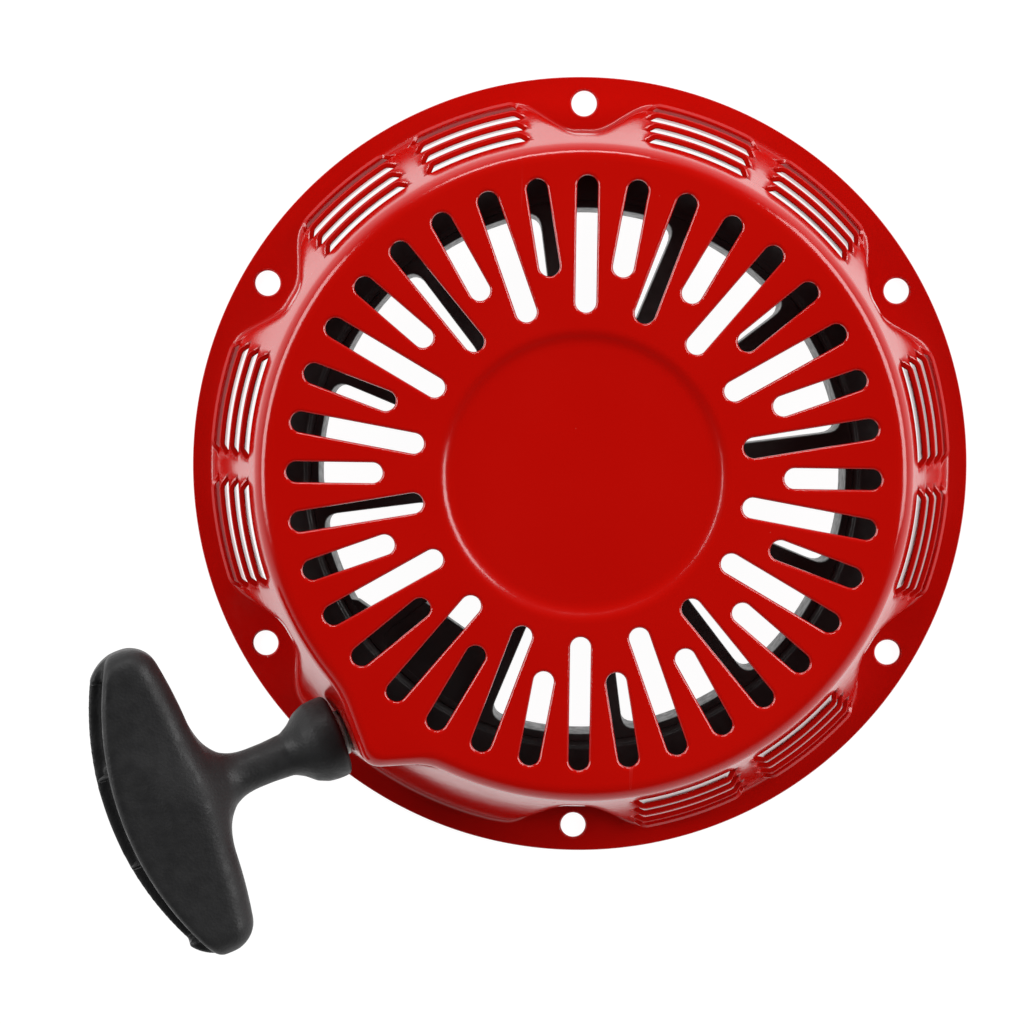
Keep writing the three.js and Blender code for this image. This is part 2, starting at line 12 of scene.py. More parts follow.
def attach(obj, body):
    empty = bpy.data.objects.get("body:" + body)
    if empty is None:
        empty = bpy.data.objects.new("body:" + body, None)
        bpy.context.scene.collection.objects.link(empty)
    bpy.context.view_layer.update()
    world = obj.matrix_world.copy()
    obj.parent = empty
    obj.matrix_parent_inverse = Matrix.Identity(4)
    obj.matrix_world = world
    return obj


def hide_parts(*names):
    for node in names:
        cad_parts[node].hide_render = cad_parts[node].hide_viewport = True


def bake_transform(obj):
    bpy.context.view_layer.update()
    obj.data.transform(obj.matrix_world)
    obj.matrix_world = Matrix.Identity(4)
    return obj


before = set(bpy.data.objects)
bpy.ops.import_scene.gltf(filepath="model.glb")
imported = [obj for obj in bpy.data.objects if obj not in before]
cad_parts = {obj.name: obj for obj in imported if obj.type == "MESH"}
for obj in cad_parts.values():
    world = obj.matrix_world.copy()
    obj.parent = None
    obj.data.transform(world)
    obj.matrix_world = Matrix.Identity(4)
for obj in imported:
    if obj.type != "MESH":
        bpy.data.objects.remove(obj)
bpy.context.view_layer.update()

# ---------------------------------------------------------------- Cover
# The real piece is one pressing of 1.5 mm steel sheet: slotted face with a shallow dish, rolled
# shoulder, louvred wall, a pocket behind each bolt and a bulge for the rope. It is dipped in red
# gloss enamel, inside and out.
MM = 0.001
SHEET = 1.5
FACE_HEIGHT = 56.0
FACE_INNER, FACE_OUTER = 37.2, 77.5  # the flat, slotted ring
WALL_BASE_RADIUS, WALL_SLOPE = 102.3, 0.372
FLANGE_RADIUS = 107.8
SHOULDER_RADIUS, FOOT_RADIUS = 5.0, 2.4
BOLT_ANGLES = [math.radians(30 + 60 * i) for i in range(6)]
BOLT_CIRCLE_RADIUS = 100.8
POCKET_RADIUS, POCKET_LEAN, POCKET_HALF_WIDTH = 92.5, 0.14, 30
POCKET_FLOOR, POCKET_FLANK, POCKET_RISE = 2, 18, 4.9  # half of the flat floor, and its sides
PULL_AZIMUTH, PULL_ELEVATION = math.radians(201), math.radians(15)
OUTLET_DISTANCE, OUTLET_OFFSET, OUTLET_HEIGHT = 82.0, 42.5, 34.5
SIDE_AZIMUTH, SIDE_DISTANCE, SIDE_SLOPE = math.radians(274.2), 70.6, 0.08

SECTORS, SECTOR_COLUMNS = 36, 15
COLUMNS = SECTORS * SECTOR_COLUMNS
column_angles = (np.arange(COLUMNS) + 0.5) * 2 * math.pi / COLUMNS


def soft_max(a, b, blend):
    share = np.clip(0.5 + 0.5 * (a - b) / blend, 0, 1)
    return b * (1 - share) + a * share + blend * share * (1 - share)


def soft_min(a, b, blend):
    return -soft_max(-a, -b, blend)


def skin_radius(angle, height):
    """Distance from the axis to the cover's outer skin, in millimetres."""
    radius = WALL_BASE_RADIUS - WALL_SLOPE * height + 0 * angle
    front = OUTLET_DISTANCE + math.tan(PULL_ELEVATION) * (OUTLET_HEIGHT - height)
    side = SIDE_DISTANCE + SIDE_SLOPE * (FACE_HEIGHT - height)
    bulge = soft_min(
        front / np.maximum(np.cos(angle - PULL_AZIMUTH), 0.2),
        side / np.maximum(np.cos(angle - SIDE_AZIMUTH), 0.2),
        5.0,
    )
    beside = (angle > PULL_AZIMUTH) & (angle < SIDE_AZIMUTH)
    radius = np.where(beside, soft_max(radius, bulge, 1.6), radius)
    for bolt in BOLT_ANGLES:
        across = POCKET_RADIUS * np.abs(np.sin(angle - bolt))
        flank = np.clip((across - POCKET_FLOOR) / POCKET_FLANK, 0, 1)
        beyond = np.maximum(across - POCKET_FLOOR - POCKET_FLANK, 0)
        rise = POCKET_RISE * (1 - np.cos(math.pi * flank)) + 0.8 * beyond
        pocket = POCKET_RADIUS - POCKET_LEAN * height + rise
        behind = (across < POCKET_HALF_WIDTH) & (np.cos(angle - bolt) > 0)
        radius = np.where(behind, soft_min(radius, pocket, 1.4), radius)
    return radius


def ring_points(radius, height):
    """One ring of the cover: radius and height in millimetres, each a number or one per column."""
    radius = radius + 0 * column_angles
    return np.stack(
        [radius * np.cos(column_angles), radius * np.sin(column_angles), height + 0 * radius], 1
    )


# Louvres: under each slit the sheet is pressed outwards, so the slit opens upwards like a gill.
LOUVRE_SLITS = [46.0, 33.0, 20.0, 7.0]
LOUVRE_GROUPS = [0, 60, 120, 180, 300]
LOUVRE_PRESS, LOUVRE_REACH, LOUVRE_GAP = 2.1, 11.0, 2.6
LOUVRE_FIRST, LOUVRE_LAST = 1, 31  # columns from the middle of a group
LOUVRE_END = 3.2  # columns over which a slit narrows to its end
LOUVRE_SHARES = (0, 0.06, 0.18, 0.4, 0.7, 1.0)  # how far down the pressed strip each ring lies
WALL_NORMAL = (0.937, 0.349)
louvre_spans = []
for group in LOUVRE_GROUPS:
    middle = round(group / 360 * COLUMNS)
    steps = range(LOUVRE_FIRST, LOUVRE_LAST + 1)
    louvre_spans.append([(middle + i) % COLUMNS for i in steps])
    louvre_spans.append([(middle - 1 - i) % COLUMNS for i in steps])
louvre_ends, press_ends = np.zeros(COLUMNS), np.zeros(COLUMNS)
slit_inside = np.zeros(COLUMNS, bool)
for span in louvre_spans:
    for place, column in enumerate(span):
        from_end = min(place, len(span) - 1 - place) / LOUVRE_END
        louvre_ends[column] = math.sqrt(1 - (1 - min(1, from_end)) ** 2)
        bulge = min(1, from_end / 1.2)
        press_ends[column] = bulge * bulge * (3 - 2 * bulge)
        slit_inside[column] = 0 < place < len(span) - 1

sheet_points, row_index = [], []


def add_row(points, previous=None, opened=None):
    """Adds a ring of points, and shares the previous ring's where the sheet isn't slit."""
    start = sum(len(p) for p in sheet_points)
    index = np.arange(start, start + COLUMNS)
    sheet_points.append(points)
    if previous is not None:
        index = np.where(opened, index, previous)
    row_index.append(index)


add_row(ring_points(FACE_OUTER, FACE_HEIGHT))
top_radius = skin_radius(column_angles, FACE_HEIGHT)
top_slope = np.arctan((skin_radius(column_angles, FACE_HEIGHT - 6) - top_radius) / 6)
tangent = SHOULDER_RADIUS * np.tan((math.pi / 2 - top_slope) / 2)
for share in np.linspace(0, 1, 9):
    turn = math.pi / 2 + share * (top_slope - math.pi / 2)
    add_row(ring_points(
        top_radius - tangent + SHOULDER_RADIUS * np.cos(turn),
        FACE_HEIGHT - SHOULDER_RADIUS + SHOULDER_RADIUS * np.sin(turn),
    ))
slit_rows = []
wall_rows = [(50.3, 0.0, False), (48.4, 0.0, False)]
for slit in LOUVRE_SLITS:
    reach = min(LOUVRE_REACH, slit - SHEET - FOOT_RADIUS)
    gap = min(LOUVRE_GAP, 0.4 * reach) * louvre_ends
    wall_rows += [(slit + 0.9, 0.0, False), (slit, 0.0, False)]
    for share in LOUVRE_SHARES:
        press = LOUVRE_PRESS * (1 - share) ** 1.5 * press_ends
        wall_rows.append((slit - gap - (reach - gap) * share, press, share == 0))
for height, press, below_slit in wall_rows:
    points = ring_points(skin_radius(column_angles, height), height)
    press = press + 0 * column_angles
    sideways, upwards = (part * press for part in WALL_NORMAL)
    points += np.stack(
        [sideways * np.cos(column_angles), sideways * np.sin(column_angles), upwards], 1
    )
    if below_slit:
        slit_rows.append(len(row_index))
        add_row(points, row_index[-1], slit_inside)
    else:
        add_row(points)
foot_radius = skin_radius(column_angles, SHEET)
foot_slope = np.arctan((foot_radius - skin_radius(column_angles, SHEET + 5)) / 5)
tangent = FOOT_RADIUS * np.tan((math.pi / 2 - foot_slope) / 2)
for share in np.linspace(0, 1, 5):
    turn = foot_slope + share * (math.pi / 2 - foot_slope)
    add_row(ring_points(
        foot_radius + tangent - FOOT_RADIUS * np.cos(turn),
        SHEET + FOOT_RADIUS - FOOT_RADIUS * np.sin(turn),
    ))
add_row(ring_points(FLANGE_RADIUS, SHEET))

sheet_points = np.concatenate(sheet_points)
sheet_faces = []
for row in range(len(row_index) - 1):
    if row + 1 in slit_rows:
        continue
    upper, lower = row_index[row], row_index[row + 1]
    sheet_faces.append(np.stack([upper, lower, np.roll(lower, -1), np.roll(upper, -1)], 1))
sheet_faces = np.concatenate(sheet_faces)


def thickened(points, faces, thickness, lip, open_ring):
    """A closed wall from an open sheet of quads. Its free edges get a rounded lip, and the edges
    on the open ring are left for the next part of the pressing."""
    corners = points[faces]
    normals = np.cross(corners[:, 2] - corners[:, 0], corners[:, 3] - corners[:, 1])
    vertex_normals = np.zeros_like(points)
    for k in range(4):
        np.add.at(vertex_normals, faces[:, k], normals)
    lengths = np.linalg.norm(vertex_normals, axis=1, keepdims=True)
    vertex_normals = vertex_normals / np.maximum(lengths, 1e-12)
    count = len(points)
    inner = points - thickness * vertex_normals
    edges = {}
    for face in faces:
        for k in range(4):
            a, b = int(face[k]), int(face[(k + 1) % 4])
            key = (min(a, b), max(a, b))
            edges[key] = None if key in edges else (a, b, face)
    free = [e for e in edges.values() if e and not (e[0] in open_ring and e[1] in open_ring)]
    outward = np.zeros_like(points)
    for a, b, face in free:
        along = points[b] - points[a]
        along /= np.linalg.norm(along)
        away = (points[a] + points[b]) / 2 - points[face].mean(0)
        away -= away.dot(along) * along
        outward[[a, b]] += away / np.linalg.norm(away)
    outward /= np.maximum(np.linalg.norm(outward, axis=1, keepdims=True), 1e-12)
    lips = [points + (inner - points) * share + outward * lip for share in (0.18, 0.82)]
    levels = [0, 2 * count, 3 * count, count]
    all_faces = [*faces.tolist(), *(faces[:, ::-1] + count).tolist()]
    for a, b, _ in free:
        for near, far in zip(levels, levels[1:]):
            all_faces.append([b + near, a + near, a + far, b + far])
    return np.concatenate([points, inner, *lips]), all_faces


LIP = 0.2
wall_points, cover_faces = thickened(
    sheet_points, sheet_faces, SHEET, LIP, set(row_index[0].tolist())
)
cover_points = [wall_points]
cover_count = len(wall_points)


def add_loops(loops):
    """Adds rings of points of the same length, and joins each to the next with quads."""
    global cover_count
    length = len(loops[0])
    for i, loop in enumerate(loops):
        cover_points.append(np.array(loop, float))
        if i == 0:
            continue
        here, before = cover_count + i * length, cover_count + (i - 1) * length
        for k in range(length):
            following = (k + 1) % length
            cover_faces.append([before + k, before + following, here + following, here + k])
    cover_count += length * len(loops)


# The face: round each slot, rings of points roll the sheet's edge over and down to the back.
SLOT_HALF = 2.575
SLOT_OUTER, SLOT_LONG, SLOT_SHORT = 74.3, 40.5, 50.1
slot_rings = [(1.1, 56), (0.75, 56), (0.38, 55.9), (0.1, 55.66), (0, 55.3),
              (0, 54.95), (0.1, 54.62), (0.32, 54.5), (0.9, 54.5)]
half_sector = math.pi / SECTORS
arc_angles = np.linspace(-half_sector, half_sector, SECTOR_COLUMNS + 1)
side_radii = np.linspace(FACE_OUTER, FACE_INNER, 14)[1:-1]
for sector in range(SECTORS):
    centre = 2 * half_sector * sector
    outline = [(FACE_OUTER, a) for a in arc_angles] + [(r, half_sector) for r in side_radii]
    outline += [(FACE_INNER, a) for a in arc_angles[::-1]]
    outline += [(r, -half_sector) for r in side_radii[::-1]]
    outer_centre = SLOT_OUTER - SLOT_HALF
    inner_centre = (SLOT_SHORT if sector % 2 == 0 else SLOT_LONG) + SLOT_HALF
    wanted = [1 if r > outer_centre else -1 if r < inner_centre else 0 for r, _ in outline]
    counts = {1: wanted.count(1), -1: wanted.count(-1)}
    seen = {1: (counts[1] - (SECTOR_COLUMNS + 1)) // 2, -1: 0}
    directions = []
    for (radius, angle), end in zip(outline, wanted):
        if end == 0:
            directions.append((radius, 0.0, math.copysign(1, angle)))
            continue
        step = seen[end] % counts[end]
        seen[end] += 1
        swing = -math.pi / 2 + math.pi * step / (counts[end] - 1)
        if end == 1:
            directions.append((outer_centre, math.cos(swing), math.sin(swing)))
        else:
            directions.append((inner_centre, -math.cos(swing), -math.sin(swing)))

    def at(points, height):
        c, s = math.cos(centre), math.sin(centre)
        return [(x * c - y * s, x * s + y * c, height) for x, y in points]

    edge = [(r * math.cos(a), r * math.sin(a)) for r, a in outline]
    loops = [at(edge, FACE_HEIGHT)]
    for offset, height in slot_rings:
        reach = SLOT_HALF + offset
        loops.append(at([(x + dx * reach, dy * reach) for x, dx, dy in directions], height))
    loops.append(at(edge, FACE_HEIGHT - SHEET))
    add_loops(loops)

# The dish in the middle of the face.
dish = [(FACE_INNER, 56), (36.4, 55.97), (35.6, 55.76), (34.7, 55.25), (33.8, 54.78),
        (32.9, 54.55), (31.8, 54.5), (16, 54.5), (3, 54.5)]
for drop, order in ((0, 1), (SHEET, -1)):
    rings = [ring_points(r, z - drop) for r, z in dish]
    add_loops(rings[::order])
    pole = cover_count
    cover_points.append(np.array([[0, 0, 54.5 - drop]]))
    last = cover_count - COLUMNS if order == 1 else cover_count - COLUMNS * len(dish)
    for k in range(COLUMNS):
        pair = [last + k, last + (k + 1) % COLUMNS]
        cover_faces.append([*pair[::order], pole])
    cover_count += 1


class Value:
    """A node's output that can be used in sums and products."""

    def __init__(self, nodes, socket):
        self.nodes, self.socket = nodes, socket

    def maths(self, operation, first, second):
        return self.nodes.node("ShaderNodeMath", {"operation": operation}, {0: first, 1: second})

    def __add__(self, other):
        return self.maths("ADD", self, other)

    def __sub__(self, other):
        return self.maths("SUBTRACT", self, other)

    def __mul__(self, other):
        return self.maths("MULTIPLY", self, other)

    def __truediv__(self, other):
        return self.maths("DIVIDE", self, other)

    def __rsub__(self, other):
        return self.maths("SUBTRACT", other, self)

    def __rmul__(self, other):
        return self.maths("MULTIPLY", other, self)

    def __radd__(self, other):
        return self.maths("ADD", other, self)


class Nodes:
    """A node tree that is filled one node at a time."""

    def __init__(self, tree):
        self.tree = tree

    def node(self, kind, settings=None, inputs=None, output=0):
        made = self.tree.nodes.new(kind)
        for key, value in (settings or {}).items():
            setattr(made, key, value)
        for key, value in (inputs or {}).items():
            self.feed(made.inputs[key], value)
        return made if output is None else Value(self, made.outputs[output])

    def feed(self, socket, value):
        if isinstance(value, Value):
            self.tree.links.new(value.socket, socket)
        else:
            socket.default_value = value


class Finish(Nodes):
    """A material: one Principled shader, with what varies over the surface fed into it."""

    def __init__(self, name, **constants):
        self.material = bpy.data.materials.new(name)
        self.material.use_nodes = True
        super().__init__(self.material.node_tree)
        self.shader = self.tree.nodes["Principled BSDF"]
        for key, value in constants.items():
            self.shader.inputs[key.replace("_", " ")].default_value = value
        self.place = self.node("ShaderNodeTexCoord", output="Object")

    def set(self, name, value):
        self.feed(self.shader.inputs[name], value)

    def noise(self, per_metre, detail=2.0, roughness=0.5, place=None):
        return self.node("ShaderNodeTexNoise", {}, {
            "Vector": place or self.place, "Scale": per_metre,
            "Detail": detail, "Roughness": roughness,
        })

    def cells(self, per_metre):
        return self.node("ShaderNodeTexVoronoi", {}, {
            "Vector": self.place, "Scale": per_metre,
        }, "Distance")

    def stretched(self, x, y, z):
        return self.node("ShaderNodeMapping", {}, {"Vector": self.place, "Scale": (x, y, z)})

    def window(self, value, low, high, to_low=0.0, to_high=1.0):
        return self.node("ShaderNodeMapRange", {"interpolation_type": "SMOOTHSTEP"}, {
            "Value": value, "From Min": low, "From Max": high,
            "To Min": to_low, "To Max": to_high,
        })

    def blend(self, share, first, second):
        colours = [c if isinstance(c, Value) else (*c, 1) for c in (first, second)]
        return self.node("ShaderNodeMix", {"data_type": "RGBA"}, {
            0: share, 6: colours[0], 7: colours[1],
        }, 2)

    def bump(self, height, distance, strength=1.0):
        self.set("Normal", self.node("ShaderNodeBump", {}, {
            "Height": height, "Distance": distance, "Strength": strength,
        }, "Normal"))


def placed(name, data):
    """A new object at the origin."""
    thing = bpy.data.objects.new(name, data)
    bpy.context.scene.collection.objects.link(thing)
    return thing


def make_piece(name, points, faces, finish, sharp_degrees=35):
    """A mesh object from points in millimetres. Edges sharper than the angle stay sharp."""
    mesh = bpy.data.meshes.new(name)
    mesh.from_pydata((np.asarray(points, float) * MM).tolist(), [], [list(f) for f in faces])
    piece = placed(name, mesh)
    mesh.materials.append(finish.material)
    smooth(piece, sharp_degrees)
    return piece


def smooth(piece, sharp_degrees=35):
    editable = bmesh.new()
    editable.from_mesh(piece.data)
    bmesh.ops.remove_doubles(editable, verts=editable.verts, dist=1e-6)
    loose = [v for v in editable.verts if not v.link_faces]
    bmesh.ops.delete(editable, geom=loose, context="VERTS")
    editable.to_mesh(piece.data)
    editable.free()
    piece.data.shade_smooth()
    piece.data.set_sharp_from_angle(angle=math.radians(sharp_degrees))


def baked(piece):
    """Replaces a piece's mesh by what its modifiers make of it."""
    evaluated = piece.evaluated_get(bpy.context.evaluated_depsgraph_get())
    mesh = bpy.data.meshes.new_from_object(evaluated)
    piece.modifiers.clear()
    piece.data = mesh
    return piece


def cut_with(piece, cutter):
    modifier = piece.modifiers.new("cut", "BOOLEAN")
    modifier.object, modifier.operation, modifier.solver = cutter, "DIFFERENCE", "EXACT"
    baked(piece)
    bpy.data.objects.remove(cutter)
    return piece


def turned_mesh(profile, sides):
    """Points and faces of a solid turned about Z from [radius, height] points, bottom to top."""
    points, faces, rings = [], [], []
    for radius, height in profile:
        if radius < 1e-6:
            rings.append([len(points)])
            points.append((0, 0, height))
            continue
        rings.append(list(range(len(points), len(points) + sides)))
        for i in range(sides):
            a = 2 * math.pi * i / sides
            points.append((radius * math.cos(a), radius * math.sin(a), height))
    closed = profile[0][0] > 1e-6
    pairs = zip(rings, rings[1:] + rings[:1]) if closed else zip(rings, rings[1:])
    for lower, upper in pairs:
        for i in range(sides):
            j = (i + 1) % sides
            if len(lower) == 1:
                faces.append([lower[0], upper[j], upper[i]])
            elif len(upper) == 1:
                faces.append([lower[i], lower[j], upper[0]])
            else:
                faces.append([lower[i], lower[j], upper[j], upper[i]])
    return np.array(points, float), faces


def moved(points, matrix):
    return points @ np.array(matrix.to_3x3()).T + np.array(matrix.translation)


pull_line = (
    Matrix.Rotation(PULL_AZIMUTH, 4, "Z")
    @ Matrix.Translation((OUTLET_DISTANCE, OUTLET_OFFSET, OUTLET_HEIGHT))
    @ Matrix.Rotation(-PULL_ELEVATION, 4, "Y")
)  # +X runs out along the rope from the cover's skin
z_onto_x = Matrix.Rotation(math.pi / 2, 4, "Y")
onto_pull_line = pull_line @ z_onto_x  # for pieces turned about Z

enamel = Finish("red_gloss_enamel")
shade = enamel.window(enamel.noise(9, 3), 0.35, 0.65)
dust = enamel.window(enamel.cells(210), 0.0, 0.035, 1.0, 0.0)
dust = dust * enamel.window(enamel.noise(60, 1), 0.56, 0.6)
colour = enamel.blend(shade, (0.49, 0.0024, 0.0006), (0.525, 0.0030, 0.0008))
enamel.set("Base Color", enamel.blend(dust, colour, (0.62, 0.09, 0.07)))
scratch_grain = enamel.noise(240, 2, 0.6, enamel.stretched(1, 0.04, 1))
scratches = enamel.window(scratch_grain, 0.72, 0.76)
scratches = scratches * enamel.window(enamel.noise(25), 0.55, 0.62)
gloss = enamel.window(enamel.noise(35, 4), 0.3, 0.7, 0.11, 0.19)
enamel.set("Roughness", gloss + 0.25 * scratches)
peel = enamel.noise(420, 1.5)
enamel.bump(peel + 0.3 * enamel.noise(60) - 0.6 * scratches - 0.8 * dust, 0.00006, 0.5)

cover = make_piece("cover_pressing", np.concatenate(cover_points), cover_faces, enamel)
HOLE_PROFILE = [(0, -1), (4.3, -1), (3.9, 0.06), (3.62, 0.25), (3.5, 0.5), (3.5, 1.0),
                (3.62, 1.25), (3.9, 1.44), (4.3, 2.6), (0, 2.6)]
cutter_points, cutter_faces = [], []


def add_cutter(points, faces):
    start = sum(len(p) for p in cutter_points)
    cutter_points.append(points)
    cutter_faces.extend([[i + start for i in face] for face in faces])


for bolt in BOLT_ANGLES:
    points, faces = turned_mesh(HOLE_PROFILE, 40)
    centre = [BOLT_CIRCLE_RADIUS * math.cos(bolt), BOLT_CIRCLE_RADIUS * math.sin(bolt), 0]
    add_cutter(points + centre, faces)
points, faces = turned_mesh([(0, -5), (5, -5), (5, 6), (0, 6)], 40)
add_cutter(moved(points, onto_pull_line), faces)
cutter = make_piece("hole_cutters", np.concatenate(cutter_points), cutter_faces, enamel)
cut_with(cover, cutter)
smooth(cover, 32)
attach(cover, "housing")
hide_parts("cover")

# ---------------------------------------------------------------- Centre post
# A turned steel post with a wide head, spot-welded under the dish. The reel turns on it, the
# mainspring hooks into its notch, and the centre screw goes up into its threaded hole.


def rounded(profile, radius, steps=3):
    """Rounds the corners of a profile, apart from its two ends on the axis."""
    points = [np.array(p, float) for p in profile]
    on_axis = profile[0][0] < 1e-6
    result = []
    for i, here in enumerate(points):
        if on_axis and i in (0, len(points) - 1):
            result.append(tuple(here))
            continue
        before, after = points[i - 1] - here, points[(i + 1) % len(points)] - here
        room = min(radius, 0.45 * np.linalg.norm(before), 0.45 * np.linalg.norm(after))
        start = here + before / np.linalg.norm(before) * room
        end = here + after / np.linalg.norm(after) * room
        for t in np.linspace(0, 1, steps + 1):
            result.append(tuple((1 - t) ** 2 * start + 2 * t * (1 - t) * here + t * t * end))
    return result


def turned_piece(name, profile, finish, sides=64, edge=0.3, place=None):
    points, faces = turned_mesh(rounded(profile, edge), sides)
    if place is not None:
        points = moved(points, place)
    return make_piece(name, points, faces, finish)


def finished(piece, body, slot, *nodes):
    """The calls that every finished piece gets."""
    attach(piece, body)
    if nodes:
        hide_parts(*nodes)
    return piece


zinc = Finish("zinc_plated_steel", Metallic=0.95)
zinc_cloud = zinc.window(zinc.noise(300, 4, 0.6), 0.3, 0.7)
zinc.set("Base Color", zinc.blend(zinc_cloud, (0.47, 0.47, 0.46), (0.62, 0.62, 0.60)))
zinc.set("Roughness", zinc.window(zinc.noise(900, 3), 0.3, 0.7, 0.26, 0.42))
zinc.bump(zinc.noise(2500, 2, 0.5, zinc.stretched(1, 1, 0.1)), 0.00003, 0.4)

POST_PROFILE = [(0, 26), (2.9, 26), (2.9, 13.3), (7, 13.3), (7, 36.8), (9, 36.8), (9, 50.9),
                (14, 50.9), (14, 52.7), (0, 52.7)]
post = turned_piece("centre_post_turned", POST_PROFILE, zinc)
finished(post, "housing", "steel", "centre_post")

# ---------------------------------------------------------------- Mainspring
# A long strip of blued spring steel, wound flat in the reel's cup. Its inner end hooks into the
# post and its outer end into the cup's wall.


def swept_mesh(path, section, up=(0, 0, 1)):
    """Points, faces and (along, around) of a section of [sideways, upwards] carried on a path."""
    path = np.array(path, float)
    tangent = np.gradient(path, axis=0)
    tangent /= np.linalg.norm(tangent, axis=1, keepdims=True)
    sideways = np.cross(np.array(up, float), tangent)
    sideways /= np.linalg.norm(sideways, axis=1, keepdims=True)
    upwards = np.cross(tangent, sideways)
    section = np.array(section, float)
    count = len(section)
    beside = sideways[:, None] * section[None, :, :1]
    above = upwards[:, None] * section[None, :, 1:]
    points = (path[:, None] + beside + above).reshape(-1, 3)
    steps = np.linalg.norm(np.diff(path, axis=0), axis=1)
    lengths = np.concatenate([[0], np.cumsum(steps)])
    faces, weave = [], []
    for i in range(len(path) - 1):
        for k in range(count):
            j = (k + 1) % count
            faces.append([i * count + k, i * count + j, (i + 1) * count + j, (i + 1) * count + k])
            here, ahead, near, far = lengths[i], lengths[i + 1], k / count, (k + 1) / count
            weave.append([(here, near), (here, far), (ahead, far), (ahead, near)])
    last = (len(path) - 1) * count
    faces += [list(range(count))[::-1], list(range(last, last + count))]
    weave += [[(end, k / count) for k in range(count)] for end in (0, lengths[-1])]
    return points, faces, weave


blued = Finish("blued_spring_steel", Metallic=0.95, Coat_Weight=0.3, Coat_Roughness=0.15)
heat = blued.window(blued.noise(120, 3), 0.35, 0.65)
blued.set("Base Color", blued.blend(heat, (0.055, 0.06, 0.075), (0.10, 0.095, 0.09)))
blued.set("Roughness", blued.window(blued.noise(700, 2), 0.3, 0.7, 0.22, 0.4))
blued.bump(blued.noise(1800, 2, 0.5, blued.stretched(1, 1, 0.05)), 0.00002, 0.5)

SPRING_TURNS, SPRING_BOTTOM, SPRING_TOP = 6, 38.2, 49.8
SPRING_INNER, SPRING_OUTER, SPRING_STEPS = 9.9, 35.5, 60
spring_path = []
for i in range(SPRING_TURNS * SPRING_STEPS + 1):
    turn = 2 * math.pi * i / SPRING_STEPS
    share = i / (SPRING_TURNS * SPRING_STEPS)
    radius = SPRING_INNER + (SPRING_OUTER - SPRING_INNER) * share
    spring_path.append((radius * math.cos(turn), radius * math.sin(turn), 0))
spring_path = np.array(spring_path) + [0, 0, (SPRING_BOTTOM + SPRING_TOP) / 2]
half_height = (SPRING_TOP - SPRING_BOTTOM) / 2
strip = [(0.25, 0.3 - half_height), (0.25, half_height - 0.3), (0.12, half_height),
         (-0.12, half_height), (-0.25, half_height - 0.3), (-0.25, 0.3 - half_height),
         (-0.12, -half_height), (0.12, -half_height)]
points, faces, _ = swept_mesh(spring_path, strip)
turn_back = Matrix.Rotation(math.radians(-140), 4, "Z")
mainspring = make_piece("mainspring_strip", moved(points, turn_back), faces, blued)
finished(mainspring, "reel_body", "spring_steel", "mainspring")

# ---------------------------------------------------------------- Reel
# One moulding of black nylon: twelve spokes between a grooved rim and a hub. The hub is a cup
# for the mainspring on top, and a ribbed recess with two pawl bosses underneath.


def inset(outline, distance):
    """The outline moved to its left, which is into the plate for a hole listed clockwise."""
    points = np.array(outline, float)
    ahead = np.roll(points, -1, 0) - points
    ahead /= np.maximum(np.linalg.norm(ahead, axis=1, keepdims=True), 1e-9)
    left = np.stack([-ahead[:, 1], ahead[:, 0]], 1)
    middle = left + np.roll(left, 1, 0)
    return points + distance * middle / np.maximum((middle * left).sum(1), 0.4)[:, None]


def arc_points(radius, start, end, steps):
    angles = np.radians(np.linspace(start, end, steps + 1))
    return [(radius * math.cos(a), radius * math.sin(a)) for a in angles]


def filleted(outline, radius, steps=6):
    """Rounds the corners of a closed outline whose curved sides are many short edges."""
    points = np.array(outline, float)
    count = len(points)
    before, after = points - np.roll(points, 1, 0), np.roll(points, -1, 0) - points
    swing = np.arctan2(
        before[:, 0] * after[:, 1] - before[:, 1] * after[:, 0], (before * after).sum(1)
    )
    corners = [i for i in range(count) if abs(swing[i]) > math.radians(20)]

    def walk(i, direction):
        left = radius
        while True:
            here, there = points[i % count], points[(i + direction) % count]
            gap = np.linalg.norm(there - here)
            if gap >= left:
                return here + (there - here) / gap * left, i
            left -= gap
            i += direction

    result = []
    for place, corner in enumerate(corners):
        start, _ = walk(corner, -1)
        end, from_index = walk(corner, 1)
        for t in np.linspace(0, 1, steps + 1):
            result.append((1 - t) ** 2 * start + 2 * t * (1 - t) * points[corner] + t * t * end)
        following = corners[(place + 1) % len(corners)]
        following += count if following <= corner else 0
        _, stop = walk(following, -1)
        result += [points[i % count] for i in range(from_index + 1, stop)]
    return [tuple(p) for p in result]


